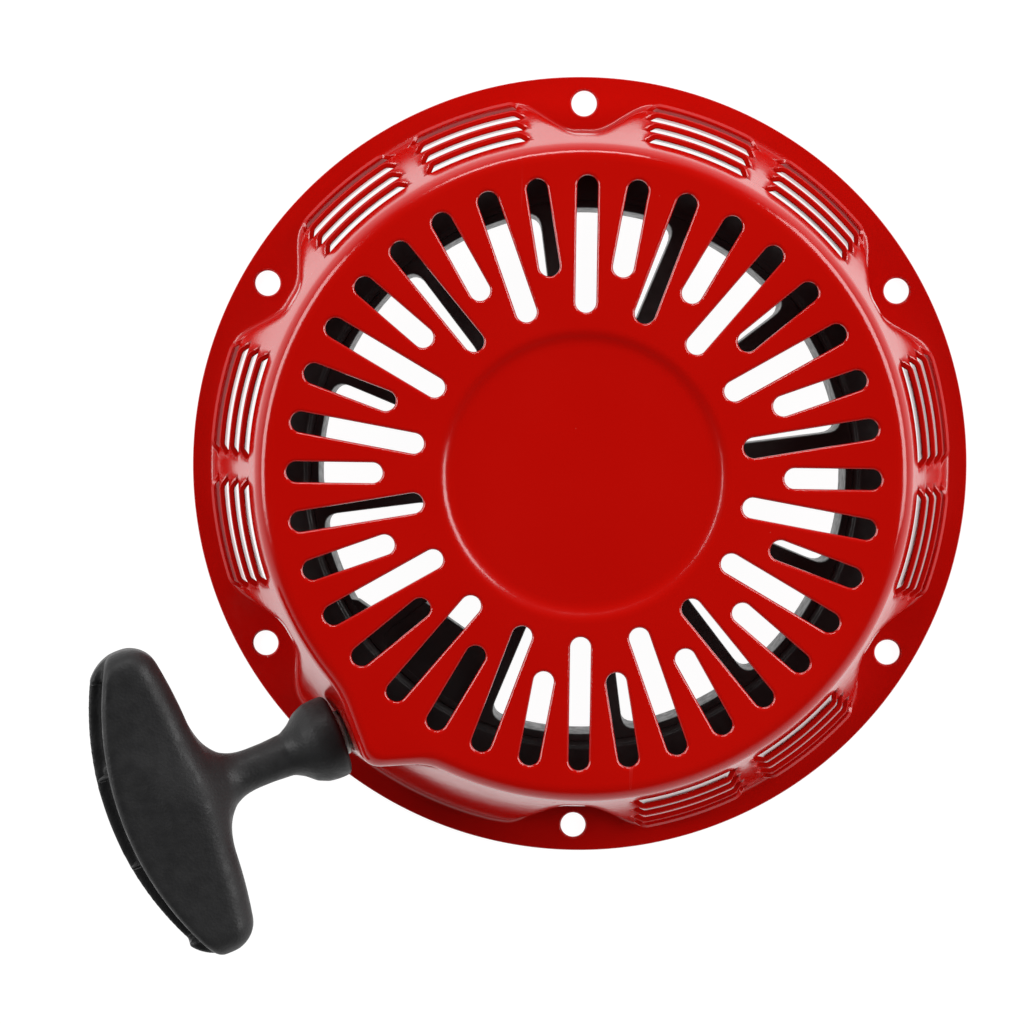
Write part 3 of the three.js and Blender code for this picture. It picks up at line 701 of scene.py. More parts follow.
def plate_mesh(outer, holes, bottom, top, edge=0.5):
    """A flat plate with rounded edges. Outer is listed anticlockwise, and holes clockwise."""
    outlines = [np.array(o, float) for o in (outer, *holes)]
    rims = [inset(outline, edge + 0.1) for outline in outlines]
    flat, edges = [], []
    for outline, rim in zip(outlines, rims):
        start = len(flat)
        flat += [Vector(p) for p in rim]
        edges += [(start + k, start + (k + 1) % len(outline)) for k in range(len(outline))]
    made_points, _, made_faces, sources, *_ = delaunay_2d_cdt(flat, edges, [], 1, 1e-7)
    count = len(flat)
    if len(made_points) != count:
        raise ValueError("the plate's outlines cross")
    source_of = [source[0] for source in sources]
    corners, kept = np.array([tuple(p) for p in flat]), []

    def within(point, loop):
        x, y = point
        ahead = np.roll(loop, -1, 0)
        spans = (loop[:, 1] > y) != (ahead[:, 1] > y)
        rise = np.where(ahead[:, 1] == loop[:, 1], 1, ahead[:, 1] - loop[:, 1])
        at = loop[:, 0] + (y - loop[:, 1]) / rise * (ahead[:, 0] - loop[:, 0])
        return bool((spans & (x < at)).sum() % 2)

    for face in made_faces:
        face = [source_of[i] for i in face]
        middle = corners[face].mean(0)
        if within(middle, rims[0]) and not any(within(middle, rim) for rim in rims[1:]):
            kept.append(face)
    points = [np.column_stack([corners, np.full(count, z)]) for z in (top, bottom)]
    faces = kept + [[i + count for i in face[::-1]] for face in kept]
    base = 2 * count
    rows = [(edge, top), (0.3 * edge, top - 0.12 * edge), (0.05 * edge, top - 0.5 * edge),
            (0, top - edge), (0, bottom + edge), (0.05 * edge, bottom + 0.5 * edge),
            (0.3 * edge, bottom + 0.12 * edge), (edge, bottom)]
    start = 0
    for outline in outlines:
        size = len(outline)
        rings = [list(range(start, start + size))]
        for offset, height in rows:
            points.append(np.column_stack([inset(outline, offset), np.full(size, height)]))
            rings.append(list(range(base, base + size)))
            base += size
        rings.append(list(range(start + count, start + count + size)))
        for upper, lower in zip(rings, rings[1:]):
            for k in range(size):
                j = (k + 1) % size
                faces.append([upper[k], lower[k], lower[j], upper[j]])
        start += size
    return np.concatenate(points), faces


def merged_mesh(*meshes):
    points, faces, start = [], [], 0
    for mesh in meshes:
        points.append(mesh[0])
        faces += [[i + start for i in face] for face in mesh[1]]
        start += len(mesh[0])
    return np.concatenate(points), faces


def modifier_tree(name, **sizes):
    """A geometry tree with named inputs, and the node that gives them."""
    tree = bpy.data.node_groups.new(name, "GeometryNodeTree")
    tree.interface.new_socket("Geometry", in_out="OUTPUT", socket_type="NodeSocketGeometry")
    for label, kind in {"Geometry": "Geometry", **sizes, "Finish": "Material"}.items():
        tree.interface.new_socket(label, in_out="INPUT", socket_type="NodeSocket" + kind)
    nodes = Nodes(tree)
    entry = tree.nodes.new("NodeGroupInput")
    return nodes, {s.name: Value(nodes, s) for s in entry.outputs if s.name}


def end_tree(nodes, given, geometry):
    """Real geometry with the finish on it, as the tree's result."""
    real = nodes.node("GeometryNodeRealizeInstances", {}, {"Geometry": geometry})
    done = nodes.node("GeometryNodeSetMaterial", {}, {
        "Geometry": real, "Material": given["Finish"],
    })
    nodes.node("NodeGroupOutput", {}, {0: done}, None)


def grown(name, source, nodes, finish, **sizes):
    """The plain mesh that a geometry tree makes from a source object, which is then removed."""
    modifier = source.modifiers.new("shape", "NODES")
    modifier.node_group = nodes.tree
    sizes["Finish"] = finish.material
    for item in nodes.tree.interface.items_tree:
        if item.in_out == "INPUT" and item.name in sizes:
            modifier[item.identifier] = sizes[item.name]
    evaluated = source.evaluated_get(bpy.context.evaluated_depsgraph_get())
    mesh = bpy.data.meshes.new_from_object(evaluated)
    bpy.data.objects.remove(source)
    piece = placed(name, mesh)
    smooth(piece)
    return piece


round_axis, given = modifier_tree("round_the_axis", Count="Int", Start="Float")
index = round_axis.node("GeometryNodeInputIndex")
angle = index * (2 * math.pi) / given["Count"] + given["Start"]
spun = round_axis.node("ShaderNodeCombineXYZ", {}, {"Z": angle})
places = round_axis.node("GeometryNodePoints", {}, {"Count": given["Count"]})
copies = round_axis.node("GeometryNodeInstanceOnPoints", {}, {
    "Points": places, "Instance": given["Geometry"],
    "Rotation": round_axis.node("FunctionNodeEulerToRotation", {}, {0: spun}),
})
end_tree(round_axis, given, copies)


def joined(name, *objects):
    """One object from several, which are used up."""
    editable = bmesh.new()
    for thing in objects:
        editable.from_mesh(thing.data)
    mesh = bpy.data.meshes.new(name)
    editable.to_mesh(mesh)
    editable.free()
    mesh.materials.append(objects[0].data.materials[0])
    for thing in objects:
        bpy.data.objects.remove(thing)
    whole = placed(name, mesh)
    smooth(whole)
    return whole


nylon = Finish("black_nylon")
cloud = nylon.window(nylon.noise(40, 3), 0.35, 0.7)
nylon.set("Base Color", nylon.blend(cloud, (0.016, 0.016, 0.0165), (0.026, 0.026, 0.026)))
nylon.set("Roughness", nylon.window(nylon.noise(500, 3), 0.3, 0.7, 0.3, 0.46))
nylon.bump(nylon.noise(1400, 2) + 0.4 * nylon.noise(150), 0.00005, 0.35)

SPOKE_ANGLE, SPOKE_HALF = 8, 2.4
WINDOW_OUTER, WINDOW_INNER = 68.2, 38.9


def window(middle):
    """The hole between two spokes, clockwise."""
    def side(sign, steps):
        radii = np.linspace(WINDOW_INNER, WINDOW_OUTER, steps)
        return [(r, sign * (15 - math.degrees(math.asin(SPOKE_HALF / r)))) for r in radii]

    right, left = side(-1, 9), side(1, 9)
    outline = [(WINDOW_INNER, a) for a in np.linspace(left[0][1], right[0][1], 12)]
    outline += right[1:-1]
    outline += [(WINDOW_OUTER, a) for a in np.linspace(right[-1][1], left[-1][1], 16)]
    outline += left[1:-1][::-1]
    turned = [(r, math.radians(a + middle)) for r, a in outline]
    return filleted([(r * math.cos(a), r * math.sin(a)) for r, a in turned], 4.2)[::-1]


windows = [window(SPOKE_ANGLE + 15 + 30 * i) for i in range(12)]
spoke_holes = [*windows, arc_points(36.9, 0, -355, 71)]
spoke_plate = plate_mesh(arc_points(70.2, 0, 357, 119), spoke_holes, 26, 38, 0.7)
rim_profile = [(69, 23.5), (84.4, 23.5), (84.4, 25.7), (70.8, 25.7), (70.8, 36.3), (84.4, 36.3),
               (84.4, 38.5), (71.9, 38.5), (71.2, 37.7), (69, 37.4)]
rim = turned_mesh(rounded(rim_profile, 0.6), 240)
hub_profile = [(7.08, 13.5), (12, 13.5), (12, 31), (36.5, 31), (36.5, 13.5), (38.5, 13.5),
               (38.5, 51.3), (36.5, 51.3), (36.5, 33.5), (12, 33.5), (12, 36.5), (7.08, 36.5)]
hub = turned_mesh(rounded(hub_profile, 0.6), 120)

ANCHOR_AZIMUTH = 235.7


def web_edge(distance, azimuth):
    radius = distance / math.cos(math.radians(azimuth - ANCHOR_AZIMUTH))
    return (radius * math.cos(math.radians(azimuth)), radius * math.sin(math.radians(azimuth)))


WEB_OUTER, WEB_BOTTOM, WEB_TOP = 69.8, 32.6, 37.8
web_outline = [web_edge(51, 218), *arc_points(WEB_OUTER, 218, 248, 12), web_edge(51, 248)]
web = plate_mesh(web_outline, [], WEB_BOTTOM, WEB_TOP, 0.6)
side_outline = [web_edge(60.5, 210.5), *arc_points(WEB_OUTER, 208.5, 218, 5), web_edge(60.5, 218)]
side_web = plate_mesh(side_outline, [], WEB_BOTTOM, WEB_TOP, 0.6)
reel_solid = make_piece("reel_solid", *merged_mesh(spoke_plate, rim, hub, web, side_web), nylon)

rib_plate = plate_mesh([(11.5, -1), (37, -1), (37, 1), (11.5, 1)], [], 17.5, 31.6, 0.35)
rib = make_piece("rib", *rib_plate, nylon)
ribs = grown("ribs", rib, round_axis, nylon, Count=6, Start=math.radians(30))
boss_profile = [(2.62, 16.5), (6, 16.5), (6, 31.6), (2.62, 31.6)]
boss_points, boss_faces = turned_mesh(rounded(boss_profile, 0.4), 40)
PAWL_PIVOT = 24.0
boss = make_piece("boss", boss_points + [PAWL_PIVOT, 0, 0], boss_faces, nylon)
bosses = grown("bosses", boss, round_axis, nylon, Count=2, Start=0.0)
reel = joined("reel_moulding", reel_solid, ribs, bosses)
spokes = [f"reel_spoke_{i + 1}" for i in range(12)]
finished(reel, "reel_body", "reel_plastic", "reel_rim", "reel_hub", *spokes)

# ---------------------------------------------------------------- Rope
# Two metres of 5 mm braided nylon. Four turns lie in the reel's groove; the inner end is knotted
# under the web, and the outer end passes the guide and is knotted inside the grip.
ROPE_RADIUS = 2.45
BRAID_PITCH, BRAID_PAIRS = 8.5, 8


def braid_of(finish):
    """Height of a 16-strand braid on (along, around) coordinates in the UV map, which also sets the
    painted shade in its grooves.
    """
    weave = finish.node("ShaderNodeUVMap")
    along = finish.node("ShaderNodeSeparateXYZ", {}, {0: weave})
    around = finish.node("ShaderNodeSeparateXYZ", {}, {0: weave}, 1)
    along = along * (2 * math.pi / (BRAID_PITCH * MM))
    around = around * (2 * math.pi * BRAID_PAIRS)
    first = finish.node("ShaderNodeMath", {"operation": "SINE"}, {0: along + around})
    second = finish.node("ShaderNodeMath", {"operation": "SINE"}, {0: along - around})
    return first.maths("MAXIMUM", first, second)


fibre = Finish("white_braided_nylon", Roughness=0.75, Sheen_Weight=0.25)
braid = braid_of(fibre)
fuzz = fibre.noise(3000, 3, 0.6)
# Painted shade: the grooves between the strands are coloured darker and the strand tops lighter,
# though the fibre is one white all over.
braid_groove_shade = fibre.window(braid, -0.4, 0.8)
fibre.set("Base Color", fibre.blend(braid_groove_shade, (0.42, 0.41, 0.38), (0.80, 0.79, 0.74)))
fibre.bump(braid + 0.25 * fuzz, 0.0004, 0.8)


def rope_piece(name, path, up=(0, 0, 1), sides=20, radius=ROPE_RADIUS):
    turns = [2 * math.pi * k / sides for k in range(sides)]
    section = [(radius * math.cos(a), radius * math.sin(a)) for a in turns]
    points, faces, weave = swept_mesh(path, section, up=up)
    mesh = bpy.data.meshes.new(name)
    mesh.from_pydata((points * MM).tolist(), [], faces)
    layer = mesh.uv_layers.new(name="weave")
    for polygon, corners in zip(mesh.polygons, weave):
        for loop, (along, around) in zip(polygon.loop_indices, corners):
            layer.data[loop].uv = (along * MM, around)
    mesh.materials.append(fibre.material)
    mesh.shade_smooth()
    mesh.set_sharp_from_angle(angle=math.radians(50))
    return placed(name, mesh)


COIL_TURNS = 4
coil_path = []
for i in range(COIL_TURNS * 100 + 1):
    turns = i / 100
    layer = min(1, max(0, (turns - 1.9) / 0.2))
    across = turns if turns < 1.9 else 3.9 - turns if turns > 2.1 else 1.9 - (turns - 1.9) / 2
    radius = 73.6 + 4.3 * layer
    height = 28.3 + 5.1 * min(1, max(0, across - 0.45))
    azimuth = math.radians(ANCHOR_AZIMUTH) - 2 * math.pi * turns
    coil_path.append((radius * math.cos(azimuth), radius * math.sin(azimuth), height))
coil = rope_piece("rope_on_reel", coil_path)
finished(coil, "reel_body", "rope_fibre", "rope_coil")


KNOT_STEPS = 120


def knot_path(size):
    """A closed overhand knot round the origin, about +Z, in millimetres."""
    path = []
    for i in range(KNOT_STEPS + 1):
        t = 2 * math.pi * i / KNOT_STEPS
        spread = size * (0.62 + 0.38 * math.cos(3 * t))
        height = size * 0.5 * math.sin(3 * t)
        path.append((spread * math.cos(2 * t), spread * math.sin(2 * t), height))
    return np.array(path)


anchor = Matrix.Rotation(math.radians(ANCHOR_AZIMUTH), 4, "Z") @ Matrix.Translation((62.3, 0, 28.3))
along_anchor = anchor @ z_onto_x
knot = rope_piece(
    "rope_knot_in_reel", moved(knot_path(2.7), along_anchor), (0.6, 0.3, 0.74), 16, 1.9
)
finished(knot, "reel_body", "rope_fibre", "reel_knot")

BEND_INSIDE, LEAVING_RADIUS, LEAVING_HEIGHT = 4.9, 82.8, 31.0
bend = np.array(pull_line @ Vector((-BEND_INSIDE, 0, 0)))
reach = math.hypot(bend[0], bend[1])
leave_azimuth = math.atan2(bend[1], bend[0]) + math.acos(LEAVING_RADIUS / reach)
leaves = np.array([
    LEAVING_RADIUS * math.cos(leave_azimuth), LEAVING_RADIUS * math.sin(leave_azimuth),
    LEAVING_HEIGHT,
])
outward = np.array(pull_line.to_3x3() @ Vector((1, 0, 0)))
inward = bend + (leaves - bend) / np.linalg.norm(leaves - bend) * 4
lead_path = [leaves + (inward - leaves) * t for t in np.linspace(0, 1, 12)[:-1]]
lead_path += [(1 - t) ** 2 * inward + 2 * t * (1 - t) * bend + t * t * (bend + 4 * outward)
              for t in np.linspace(0, 1, 12)]
lead_path += [bend + outward * d for d in np.linspace(4.3, BEND_INSIDE + 0.2, 3)]
lead = rope_piece("rope_to_outlet", lead_path)
finished(lead, "housing", "rope_fibre", "rope_lead")
GRIP_STANDOFF = 1.7


def pull_line_points(start, end, count):
    return [tuple(pull_line @ Vector((d, 0, 0))) for d in np.linspace(start, end, count)]


run = pull_line_points(0.2, GRIP_STANDOFF + 0.6, 6)
pulled = rope_piece("rope_pulled_out", run)
run_start, run_end = (tuple(MM * x for x in run[i]) for i in (0, -1))
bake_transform(pulled)
tail = rope_piece("rope_in_grip", pull_line_points(GRIP_STANDOFF + 0.6, 44.2, 40))
finished(tail, "grip_body", "rope_fibre", "rope_tail")

# ---------------------------------------------------------------- Pawls
# Two hardened steel pawls hang on pins pressed into the reel's bosses. A wire spring round each
# boss holds it folded in, and a peg under each follows the ratchet guide's slot.
hardened = Finish("oiled_hardened_steel", Metallic=0.95, Coat_Weight=0.2, Coat_Roughness=0.2)
stain = hardened.window(hardened.noise(260, 4, 0.6), 0.35, 0.7)
hardened.set("Base Color", hardened.blend(stain, (0.24, 0.235, 0.225), (0.40, 0.39, 0.37)))
hardened.set("Roughness", hardened.window(hardened.noise(800, 3), 0.3, 0.7, 0.3, 0.5))
hardened.bump(hardened.noise(2200, 2), 0.00003, 0.4)


PAWL_TIP = (-6, -22)  # from the pivot
PEG_SHARE = 0.53  # how far along the pawl its peg stands


def pawl_at(share, width):
    """A point on the pawl, by its share of the way to the tip and its distance to one side."""
    x, y = PAWL_TIP
    length = math.hypot(x, y)
    return (PAWL_PIVOT + x * share - y / length * width, y * share + x / length * width)


def wire_spring(name, radius, bottom, top, turns, wire, middle=0):
    """A coil grown along its path by a geometry tree."""
    path = bpy.data.meshes.new(name)
    steps = round(turns * 36)
    points = []
    for i in range(steps + 1):
        a = 2 * math.pi * turns * i / steps
        height = bottom + (top - bottom) * i / steps
        x, y = middle + radius * math.cos(a), radius * math.sin(a)
        points.append((MM * x, MM * y, MM * height))
    path.from_pydata(points, [(i, i + 1) for i in range(steps)], [])
    return grown(name, placed(name, path), wire_tree, blued, Wire=wire * MM)


wire_tree, given = modifier_tree("wire_along_a_path", Wire="Float")
spine = wire_tree.node("GeometryNodeMeshToCurve", {}, {"Mesh": given["Geometry"]})
circle = wire_tree.node("GeometryNodeCurvePrimitiveCircle", {}, {
    "Resolution": 14, "Radius": given["Wire"],
})
wire_mesh = wire_tree.node("GeometryNodeCurveToMesh", {}, {
    "Curve": spine, "Profile Curve": circle, "Fill Caps": True,
})
end_tree(wire_tree, given, wire_mesh)

for number, side in ((1, 0.0), (2, math.pi)):
    half_turn = Matrix.Rotation(side, 4, "Z")
    outline = []
    for k in range(15):
        a = math.radians(8 + 180 * k / 14)
        outline.append((PAWL_PIVOT + 5.5 * math.cos(a), 5.5 * math.sin(a)))
    outline += [pawl_at(0.12, -5.1), pawl_at(0.3, -4.6), pawl_at(0.5, -4.2), pawl_at(0.8, -3.2),
                pawl_at(1.03, -2.5), pawl_at(1.06, -2.0), pawl_at(1.01, 3.0), pawl_at(0.97, 3.5),
                pawl_at(0.6, 4.6), pawl_at(0.3, 4.9), pawl_at(0.1, 5.2)]
    turns = [-2 * math.pi * k / 40 for k in range(40)]
    hole = [(PAWL_PIVOT + 2.6 * math.cos(a), 2.6 * math.sin(a)) for a in turns]
    arm = plate_mesh(outline, [hole], 8.9, 13.2, 0.35)
    peg_profile = rounded([(0, 5.8), (1.5, 5.8), (1.5, 9.4), (0, 9.4)], 0.25)
    peg_points, peg_faces = turned_mesh(peg_profile, 32)
    points, faces = merged_mesh(arm, (peg_points + [*pawl_at(PEG_SHARE, 0), 0], peg_faces))
    pawl = make_piece(f"pawl_forging_{number}", moved(points, half_turn), faces, hardened)
    finished(pawl, f"pawl_{number}_body", "steel", f"pawl_{number}")
    points, faces = turned_mesh(rounded([(0, 9.2), (2.5, 9.2), (2.5, 26), (0, 26)], 0.4), 40)
    points = moved(points + [PAWL_PIVOT, 0, 0], half_turn)
    pin = make_piece(f"pawl_pin_turned_{number}", points, faces, zinc)
    finished(pin, "reel_body", "steel", f"pawl_pin_{number}")
    pivot = PAWL_PIVOT if side == 0 else -PAWL_PIVOT
    coil_spring = wire_spring(f"pawl_spring_wire_{number}", 3.9, 14, 15.7, 1.75, 0.4, pivot)
    finished(coil_spring, "reel_body", "spring_steel", f"pawl_spring_{number}")

# ---------------------------------------------------------------- Friction brake and guide
# A coil spring and a steel washer drag on the ratchet guide, a nylon disc with two slots. The
# drag makes the guide lag behind the reel, and its slots swing the pawls out.
washer = turned_piece(
    "thrust_washer_stamped", [(3.2, 11.6), (13, 11.6), (13, 13), (3.2, 13)], zinc, 72, 0.3,
)
finished(washer, "housing", "steel", "thrust_washer")
friction = wire_spring("friction_spring_wire", 5.0, 9, 10.8, 2, 0.5)
finished(friction, "housing", "spring_steel", "friction_spring")


PAWL_SWING, GUIDE_LAG = 30, 35  # degrees
PEG_SLOT_HALF = 1.95


def peg_on_guide(share):
    """Where the peg stands on the guide, when the guide has lagged by a share of its travel."""
    swing, turn = math.radians(PAWL_SWING * share), -math.radians(GUIDE_LAG * share)
    peg = complex(*PAWL_TIP) * PEG_SHARE * complex(math.cos(swing), math.sin(swing)) + PAWL_PIVOT
    return peg * complex(math.cos(turn), math.sin(turn))


slot_path = [peg_on_guide(i / 12) for i in range(13)]


def slot_end(here, ahead):
    half_circle = [np.exp(1j * math.pi * (k / 12 - 0.5)) for k in range(1, 12)]
    return [here + ahead / abs(ahead) * PEG_SLOT_HALF * turn for turn in half_circle]


def slot_side(sign):
    side = []
    for i, here in enumerate(slot_path):
        along = slot_path[min(i + 1, 12)] - slot_path[max(i - 1, 0)]
        side.append(here + sign * 1j * along / abs(along) * PEG_SLOT_HALF)
    return side


slot_outline = slot_end(slot_path[0], slot_path[0] - slot_path[1]) + slot_side(-1)
slot_outline += slot_end(slot_path[12], slot_path[12] - slot_path[11]) + slot_side(1)[::-1]
slot_outlines = [[(side * p.real, side * p.imag) for p in slot_outline[::-1]] for side in (1, -1)]
centre_hole = arc_points(2.78, 0, -352.5, 47)
disc = plate_mesh(arc_points(33, 0, 357.5, 143), [*slot_outlines, centre_hole], 5.2, 8.2, 0.5)
guide = make_piece("ratchet_guide_disc", *disc, nylon)
finished(guide, "guide_body", "reel_plastic", "ratchet_guide")

# ---------------------------------------------------------------- Centre screw
# A zinc-plated flanged hex screw holds the brake and the guide up against the post.
HEX_RADIUS = 5.8 / math.cos(math.pi / 6)
hexagon = [(HEX_RADIUS * math.cos(a), HEX_RADIUS * math.sin(a))
           for a in np.radians(np.arange(0, 360, 60))]
head = plate_mesh(hexagon, [], 1.4, 4.6, 0.5)
SHANK_PROFILE = [(0, 4.2), (6.4, 4.2), (6.4, 4.9), (2.6, 4.9), (2.6, 25), (0, 25)]
shank = turned_mesh(rounded(SHANK_PROFILE, 0.25), 48)
screw = make_piece("centre_screw_plated", *merged_mesh(head, shank), zinc)
finished(screw, "housing", "steel", "centre_screw")

# ---------------------------------------------------------------- Rope guide
# A grooved nylon bush snaps into the outlet hole, so that the rope doesn't rub on the steel.
bush_plastic = Finish("natural_nylon", Subsurface_Weight=0.1, Coat_Weight=0.2)
bush_plastic.set("Base Color", bush_plastic.blend(
    bush_plastic.window(bush_plastic.noise(200), 0.35, 0.65), (0.60, 0.58, 0.52), (0.70, 0.68, 0.62)
))
bush_plastic.set("Roughness", bush_plastic.window(bush_plastic.noise(900), 0.3, 0.7, 0.32, 0.42))
bush_plastic.bump(bush_plastic.noise(1500), 0.00003, 0.4)
BUSH_PROFILE = [(2.9, -1.2), (4.3, -3.4), (5.9, -3.4), (5.9, -1.8), (4.7, -1.8), (4.7, 0.3),
                (5.9, 0.3), (5.9, 1.4), (3.4, 1.4), (2.9, 0.8)]
bush = turned_piece("rope_guide_bush", BUSH_PROFILE, bush_plastic, 64, 0.35, onto_pull_line)
finished(bush, "housing", "guide_plastic", "rope_guide")

# ---------------------------------------------------------------- Grip
# One thick moulding of black polypropylene: a flared foot, a round neck and a curved crossbar.
# The bar is open at the back, with two ribs across, and the knot sits in its middle chamber.
GRIP_PITCH = 0.55
grid_x = np.arange(-1.5, 65.5, GRIP_PITCH)
grid_y = np.arange(-43.5, 43.6, GRIP_PITCH)
grid_z = np.arange(-13.5, 13.6, GRIP_PITCH)
X, Y, Z = np.meshgrid(grid_x, grid_y, grid_z, indexing="ij")


def carved_field(a, b, radius):
    """What is left of a when b is cut out of it, with the edge rounded."""
    return soft_max(a, -b, radius)


def box_field(a, b, radius):
    """A rounded box from the distances past two of its sides."""
    outside = np.hypot(np.maximum(a, 0), np.maximum(b, 0))
    return outside + np.minimum(np.maximum(a, b), 0) - radius


STEM_X = [0, 0.6, 1.6, 4, 6.5, 9.4, 12, 14.5, 20, 28, 31, 34, 38, 43]
STEM_RADII = [10.4, 10.9, 11.0, 11.0, 10.7, 9.4, 7.1, 5.7, 5.35, 5.35, 5.5, 6.4, 8.6, 9.0]
BAR_FRONT, BAR_BACK, BACK_RADIUS = 35.5, 63, 84
BAR_HALF_LENGTH, BAR_HALF_WIDTH = 41, 11.5
BAR_CORNER, BAR_EDGE, CHAMBER_CORNER = 6.0, 6.0, 2.2
radial = np.hypot(Y, Z)
stem = radial - np.interp(X, STEM_X, STEM_RADII)
stem = carved_field(stem, X, 1.6)
stem = carved_field(stem, STEM_X[-1] - X, 1.0)
back = BAR_BACK - (BACK_RADIUS - np.sqrt(BACK_RADIUS ** 2 - Y ** 2))
front = BAR_FRONT + 3.2 * np.clip((np.abs(Y) - 13) / 28, 0, 1) ** 2
offset_x = np.abs(X - (back + front) / 2) - (back - front) / 2 + BAR_CORNER
offset_y = np.abs(Y) - BAR_HALF_LENGTH + BAR_CORNER
outline_field = box_field(offset_x, offset_y, BAR_CORNER)
bar = box_field(outline_field + BAR_EDGE, np.abs(Z) - BAR_HALF_WIDTH + BAR_EDGE, BAR_EDGE)
grip_field = soft_min(stem, bar, 12.0)
for start, end, floor in ((-35, -12.6, 44.5), (-11.2, 11.2, 40.7), (12.6, 35, 44.5)):
    box_x = floor - X + CHAMBER_CORNER
    box_y = np.abs(Y - (start + end) / 2) - (end - start) / 2 + CHAMBER_CORNER
    box_z = np.abs(Z) - 5.5 + CHAMBER_CORNER
    outside = np.sqrt(sum(np.maximum(b, 0) ** 2 for b in (box_x, box_y, box_z)))
    inside = np.minimum(np.maximum(np.maximum(box_x, box_y), box_z), 0)
    chamber = outside + inside - CHAMBER_CORNER
    grip_field = carved_field(grip_field, chamber, 1.0)
mouth = np.maximum(np.abs(Y) - 35.2, 0.30 * (Z + 5) - (X - back + 2.6))
mouth = np.maximum(np.abs(Z + 0.2) - 5.6, mouth)
grip_field = carved_field(grip_field, mouth, 1.2)
upper_lip = np.maximum(4.2 - Z, back - 3.6 - X)
grip_field = carved_field(grip_field, upper_lip, 1.5)
bore = np.maximum(radial - 3.0, X - 42)
grip_field = carved_field(grip_field, bore, 0.6)


def surface_of(field, origin, pitch):
    """Points and quads of the surface where a sampled field is zero. Inside is negative."""
    inside = field < 0
    cells = tuple(n - 1 for n in field.shape)
    total, hits = np.zeros((*cells, 3)), np.zeros(cells)
    corners = [(i, j, k) for i in (0, 1) for j in (0, 1) for k in (0, 1)]

    def part(array, shift):
        return array[tuple(slice(start, start + n) for start, n in zip(shift, cells))]

    for a in corners:
        for axis in range(3):
            if a[axis]:
                continue
            b = tuple(v + (1 if n == axis else 0) for n, v in enumerate(a))
            first, second = part(field, a), part(field, b)
            crossing = (first < 0) != (second < 0)
            share = np.where(crossing, first / np.where(crossing, first - second, 1), 0)
            for n in range(3):
                total[..., n] += np.where(crossing, a[n] + (share if n == axis else 0), 0)
            hits += crossing
    used = hits > 0
    index = np.full(cells, -1)
    index[used] = np.arange(used.sum())
    base = np.argwhere(used)
    points = (base + total[used] / hits[used][:, None]) * pitch + origin
    faces = []
    for axis in range(3):
        one, two = (axis + 1) % 3, (axis + 2) % 3
        head, tail = [slice(None)] * 3, [slice(None)] * 3
        head[axis], tail[axis] = slice(1, None), slice(None, -1)
        change = inside[tuple(head)].astype(int) - inside[tuple(tail)]
        for sign in (1, -1):
            spots = np.argwhere(change == sign)
            spots = spots[(spots[:, one] > 0) & (spots[:, two] > 0)]
            ring = []
            for back_one, back_two in ((1, 1), (0, 1), (0, 0), (1, 0)):
                cell = spots.copy()
                cell[:, one] -= back_one
                cell[:, two] -= back_two
                ring.append(index[tuple(cell.T)])
            quads = np.stack(ring if sign == -1 else ring[::-1], 1)
            faces.append(quads)
    return points, np.concatenate(faces)


grip_plastic = Finish("black_polypropylene", Specular_IOR_Level=0.3)
grain = grip_plastic.cells(1250) + 0.5 * grip_plastic.noise(900, 3)
handled = grip_plastic.window(grip_plastic.noise(30, 3), 0.35, 0.7)
grip_plastic.set("Base Color", grip_plastic.blend(
    handled, (0.013, 0.013, 0.0135), (0.019, 0.019, 0.0195)
))
matt = grip_plastic.window(grip_plastic.noise(300, 3), 0.3, 0.7, 0.42, 0.56)
grip_plastic.set("Roughness", matt)
grip_plastic.bump(grain, 0.0001, 0.45)

points, faces = surface_of(grip_field, np.array([grid_x[0], grid_y[0], grid_z[0]]), GRIP_PITCH)
on_grip = pull_line @ Matrix.Translation((GRIP_STANDOFF, 0, 0))
grip = make_piece("grip_moulding", points, faces, grip_plastic, 180)
relax = grip.modifiers.new("relax", "SMOOTH")
relax.factor, relax.iterations = 0.5, 4
baked(grip)
for vertex in grip.data.vertices:
    vertex.co = MM * (on_grip @ (vertex.co / MM))
smooth(grip, 60)
finished(grip, "grip_body", "grip_plastic", "grip")

onto_grip = on_grip @ z_onto_x
FERRULE_PROFILE = [(2.9, 40.8), (5.1, 40.8), (5.1, 42.1), (2.9, 42.1)]
ferrule = turned_piece("grip_ferrule_stamped", FERRULE_PROFILE, zinc, 48, 0.25, onto_grip)
finished(ferrule, "grip_body", "steel", "grip_ferrule")
knot_place = on_grip @ Matrix.Translation((48.2, 0, 0)) @ z_onto_x
grip_knot = rope_piece(
    "rope_knot_in_grip", moved(knot_path(2.9), knot_place), (0.2, 0.5, 0.84), 16, 1.95
)
finished(grip_knot, "grip_body", "rope_fibre", "grip_knot")

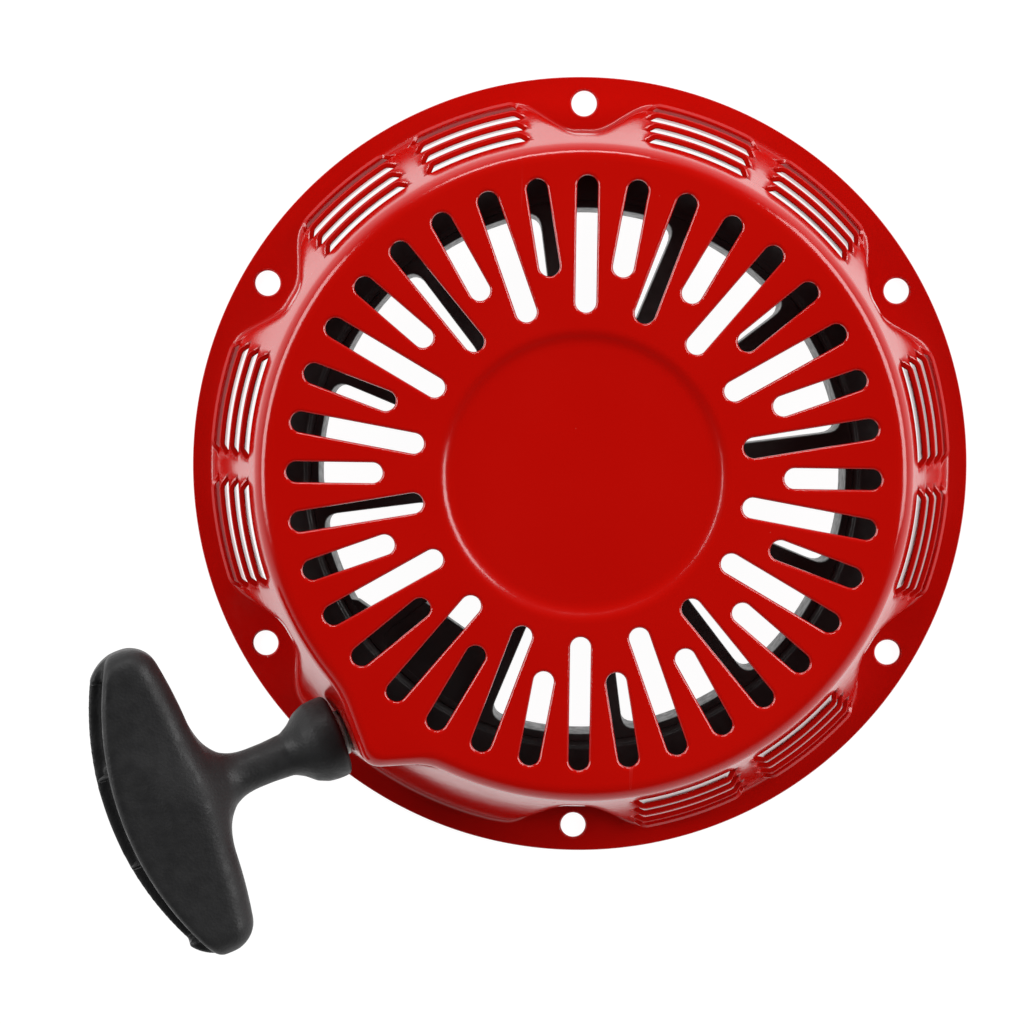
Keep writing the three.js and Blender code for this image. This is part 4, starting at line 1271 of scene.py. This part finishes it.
# ---------------------------------------------------------------- Table, lights and camera
# A white table, a pale room and three soft boxes.
floor_mesh = bpy.data.meshes.new("table")
TABLE_HALF, TABLE_TOP = 4, -0.0005
table_corners = [(x * TABLE_HALF, y * TABLE_HALF, TABLE_TOP)
                 for x, y in ((-1, -1), (1, -1), (1, 1), (-1, 1))]
floor_mesh.from_pydata(table_corners, [], [(0, 1, 2, 3)])
table = placed("table", floor_mesh)
white = Finish("white_table", Roughness=0.9)
white.set("Base Color", (0.12, 0.12, 0.12, 1))
white.set("Emission Color", (1, 1, 1, 1))
white.set("Emission Strength", 0.97)
floor_mesh.materials.append(white.material)

world = bpy.data.worlds.new("room")
world.use_nodes = True
room = Nodes(world.node_tree)
background = world.node_tree.nodes["Background"]
background.inputs["Color"].default_value = (1, 1, 1, 1)
upward = room.node("ShaderNodeSeparateXYZ", {}, {
    0: room.node("ShaderNodeTexCoord", output="Generated"),
}, "Z")
glow = room.node("ShaderNodeMapRange", {"interpolation_type": "SMOOTHSTEP"}, {
    "Value": upward, "From Min": 0.1, "From Max": 0.6, "To Min": 0.9, "To Max": 0.02,
})
room.feed(background.inputs["Strength"], glow)
bpy.context.scene.world = world


def soft_box(name, azimuth, from_zenith, distance, width, height, watts):
    a, t = math.radians(azimuth), math.radians(from_zenith)
    where = Vector((math.sin(t) * math.cos(a), math.sin(t) * math.sin(a), math.cos(t)))
    light = bpy.data.lights.new(name, "AREA")
    light.shape, light.size, light.size_y, light.energy = "RECTANGLE", width, height, watts
    box = placed(name, light)
    box.location = where * distance
    box.rotation_euler = where.to_track_quat("Z", "Y").to_euler()


soft_box("right_soft_box", 20, 55, 1.4, 1.3, 0.5, 15)
soft_box("top_soft_box", 97, 58, 1.5, 0.9, 0.22, 6)
soft_box("left_soft_box", 165, 56, 1.4, 1.1, 0.45, 11)

camera_data = bpy.data.cameras.new("camera")
camera_data.lens, camera_data.sensor_width = 63.28125, 36
camera = placed("camera", camera_data)
camera.location = (-0.0111169, 0.0170263, 0.5041510)
camera.rotation_euler = [math.radians(a) for a in (-3.34709029, 0.87551223, 0.75883576)]
bpy.context.scene.camera = camera
bpy.context.scene.view_settings.view_transform = "Standard"
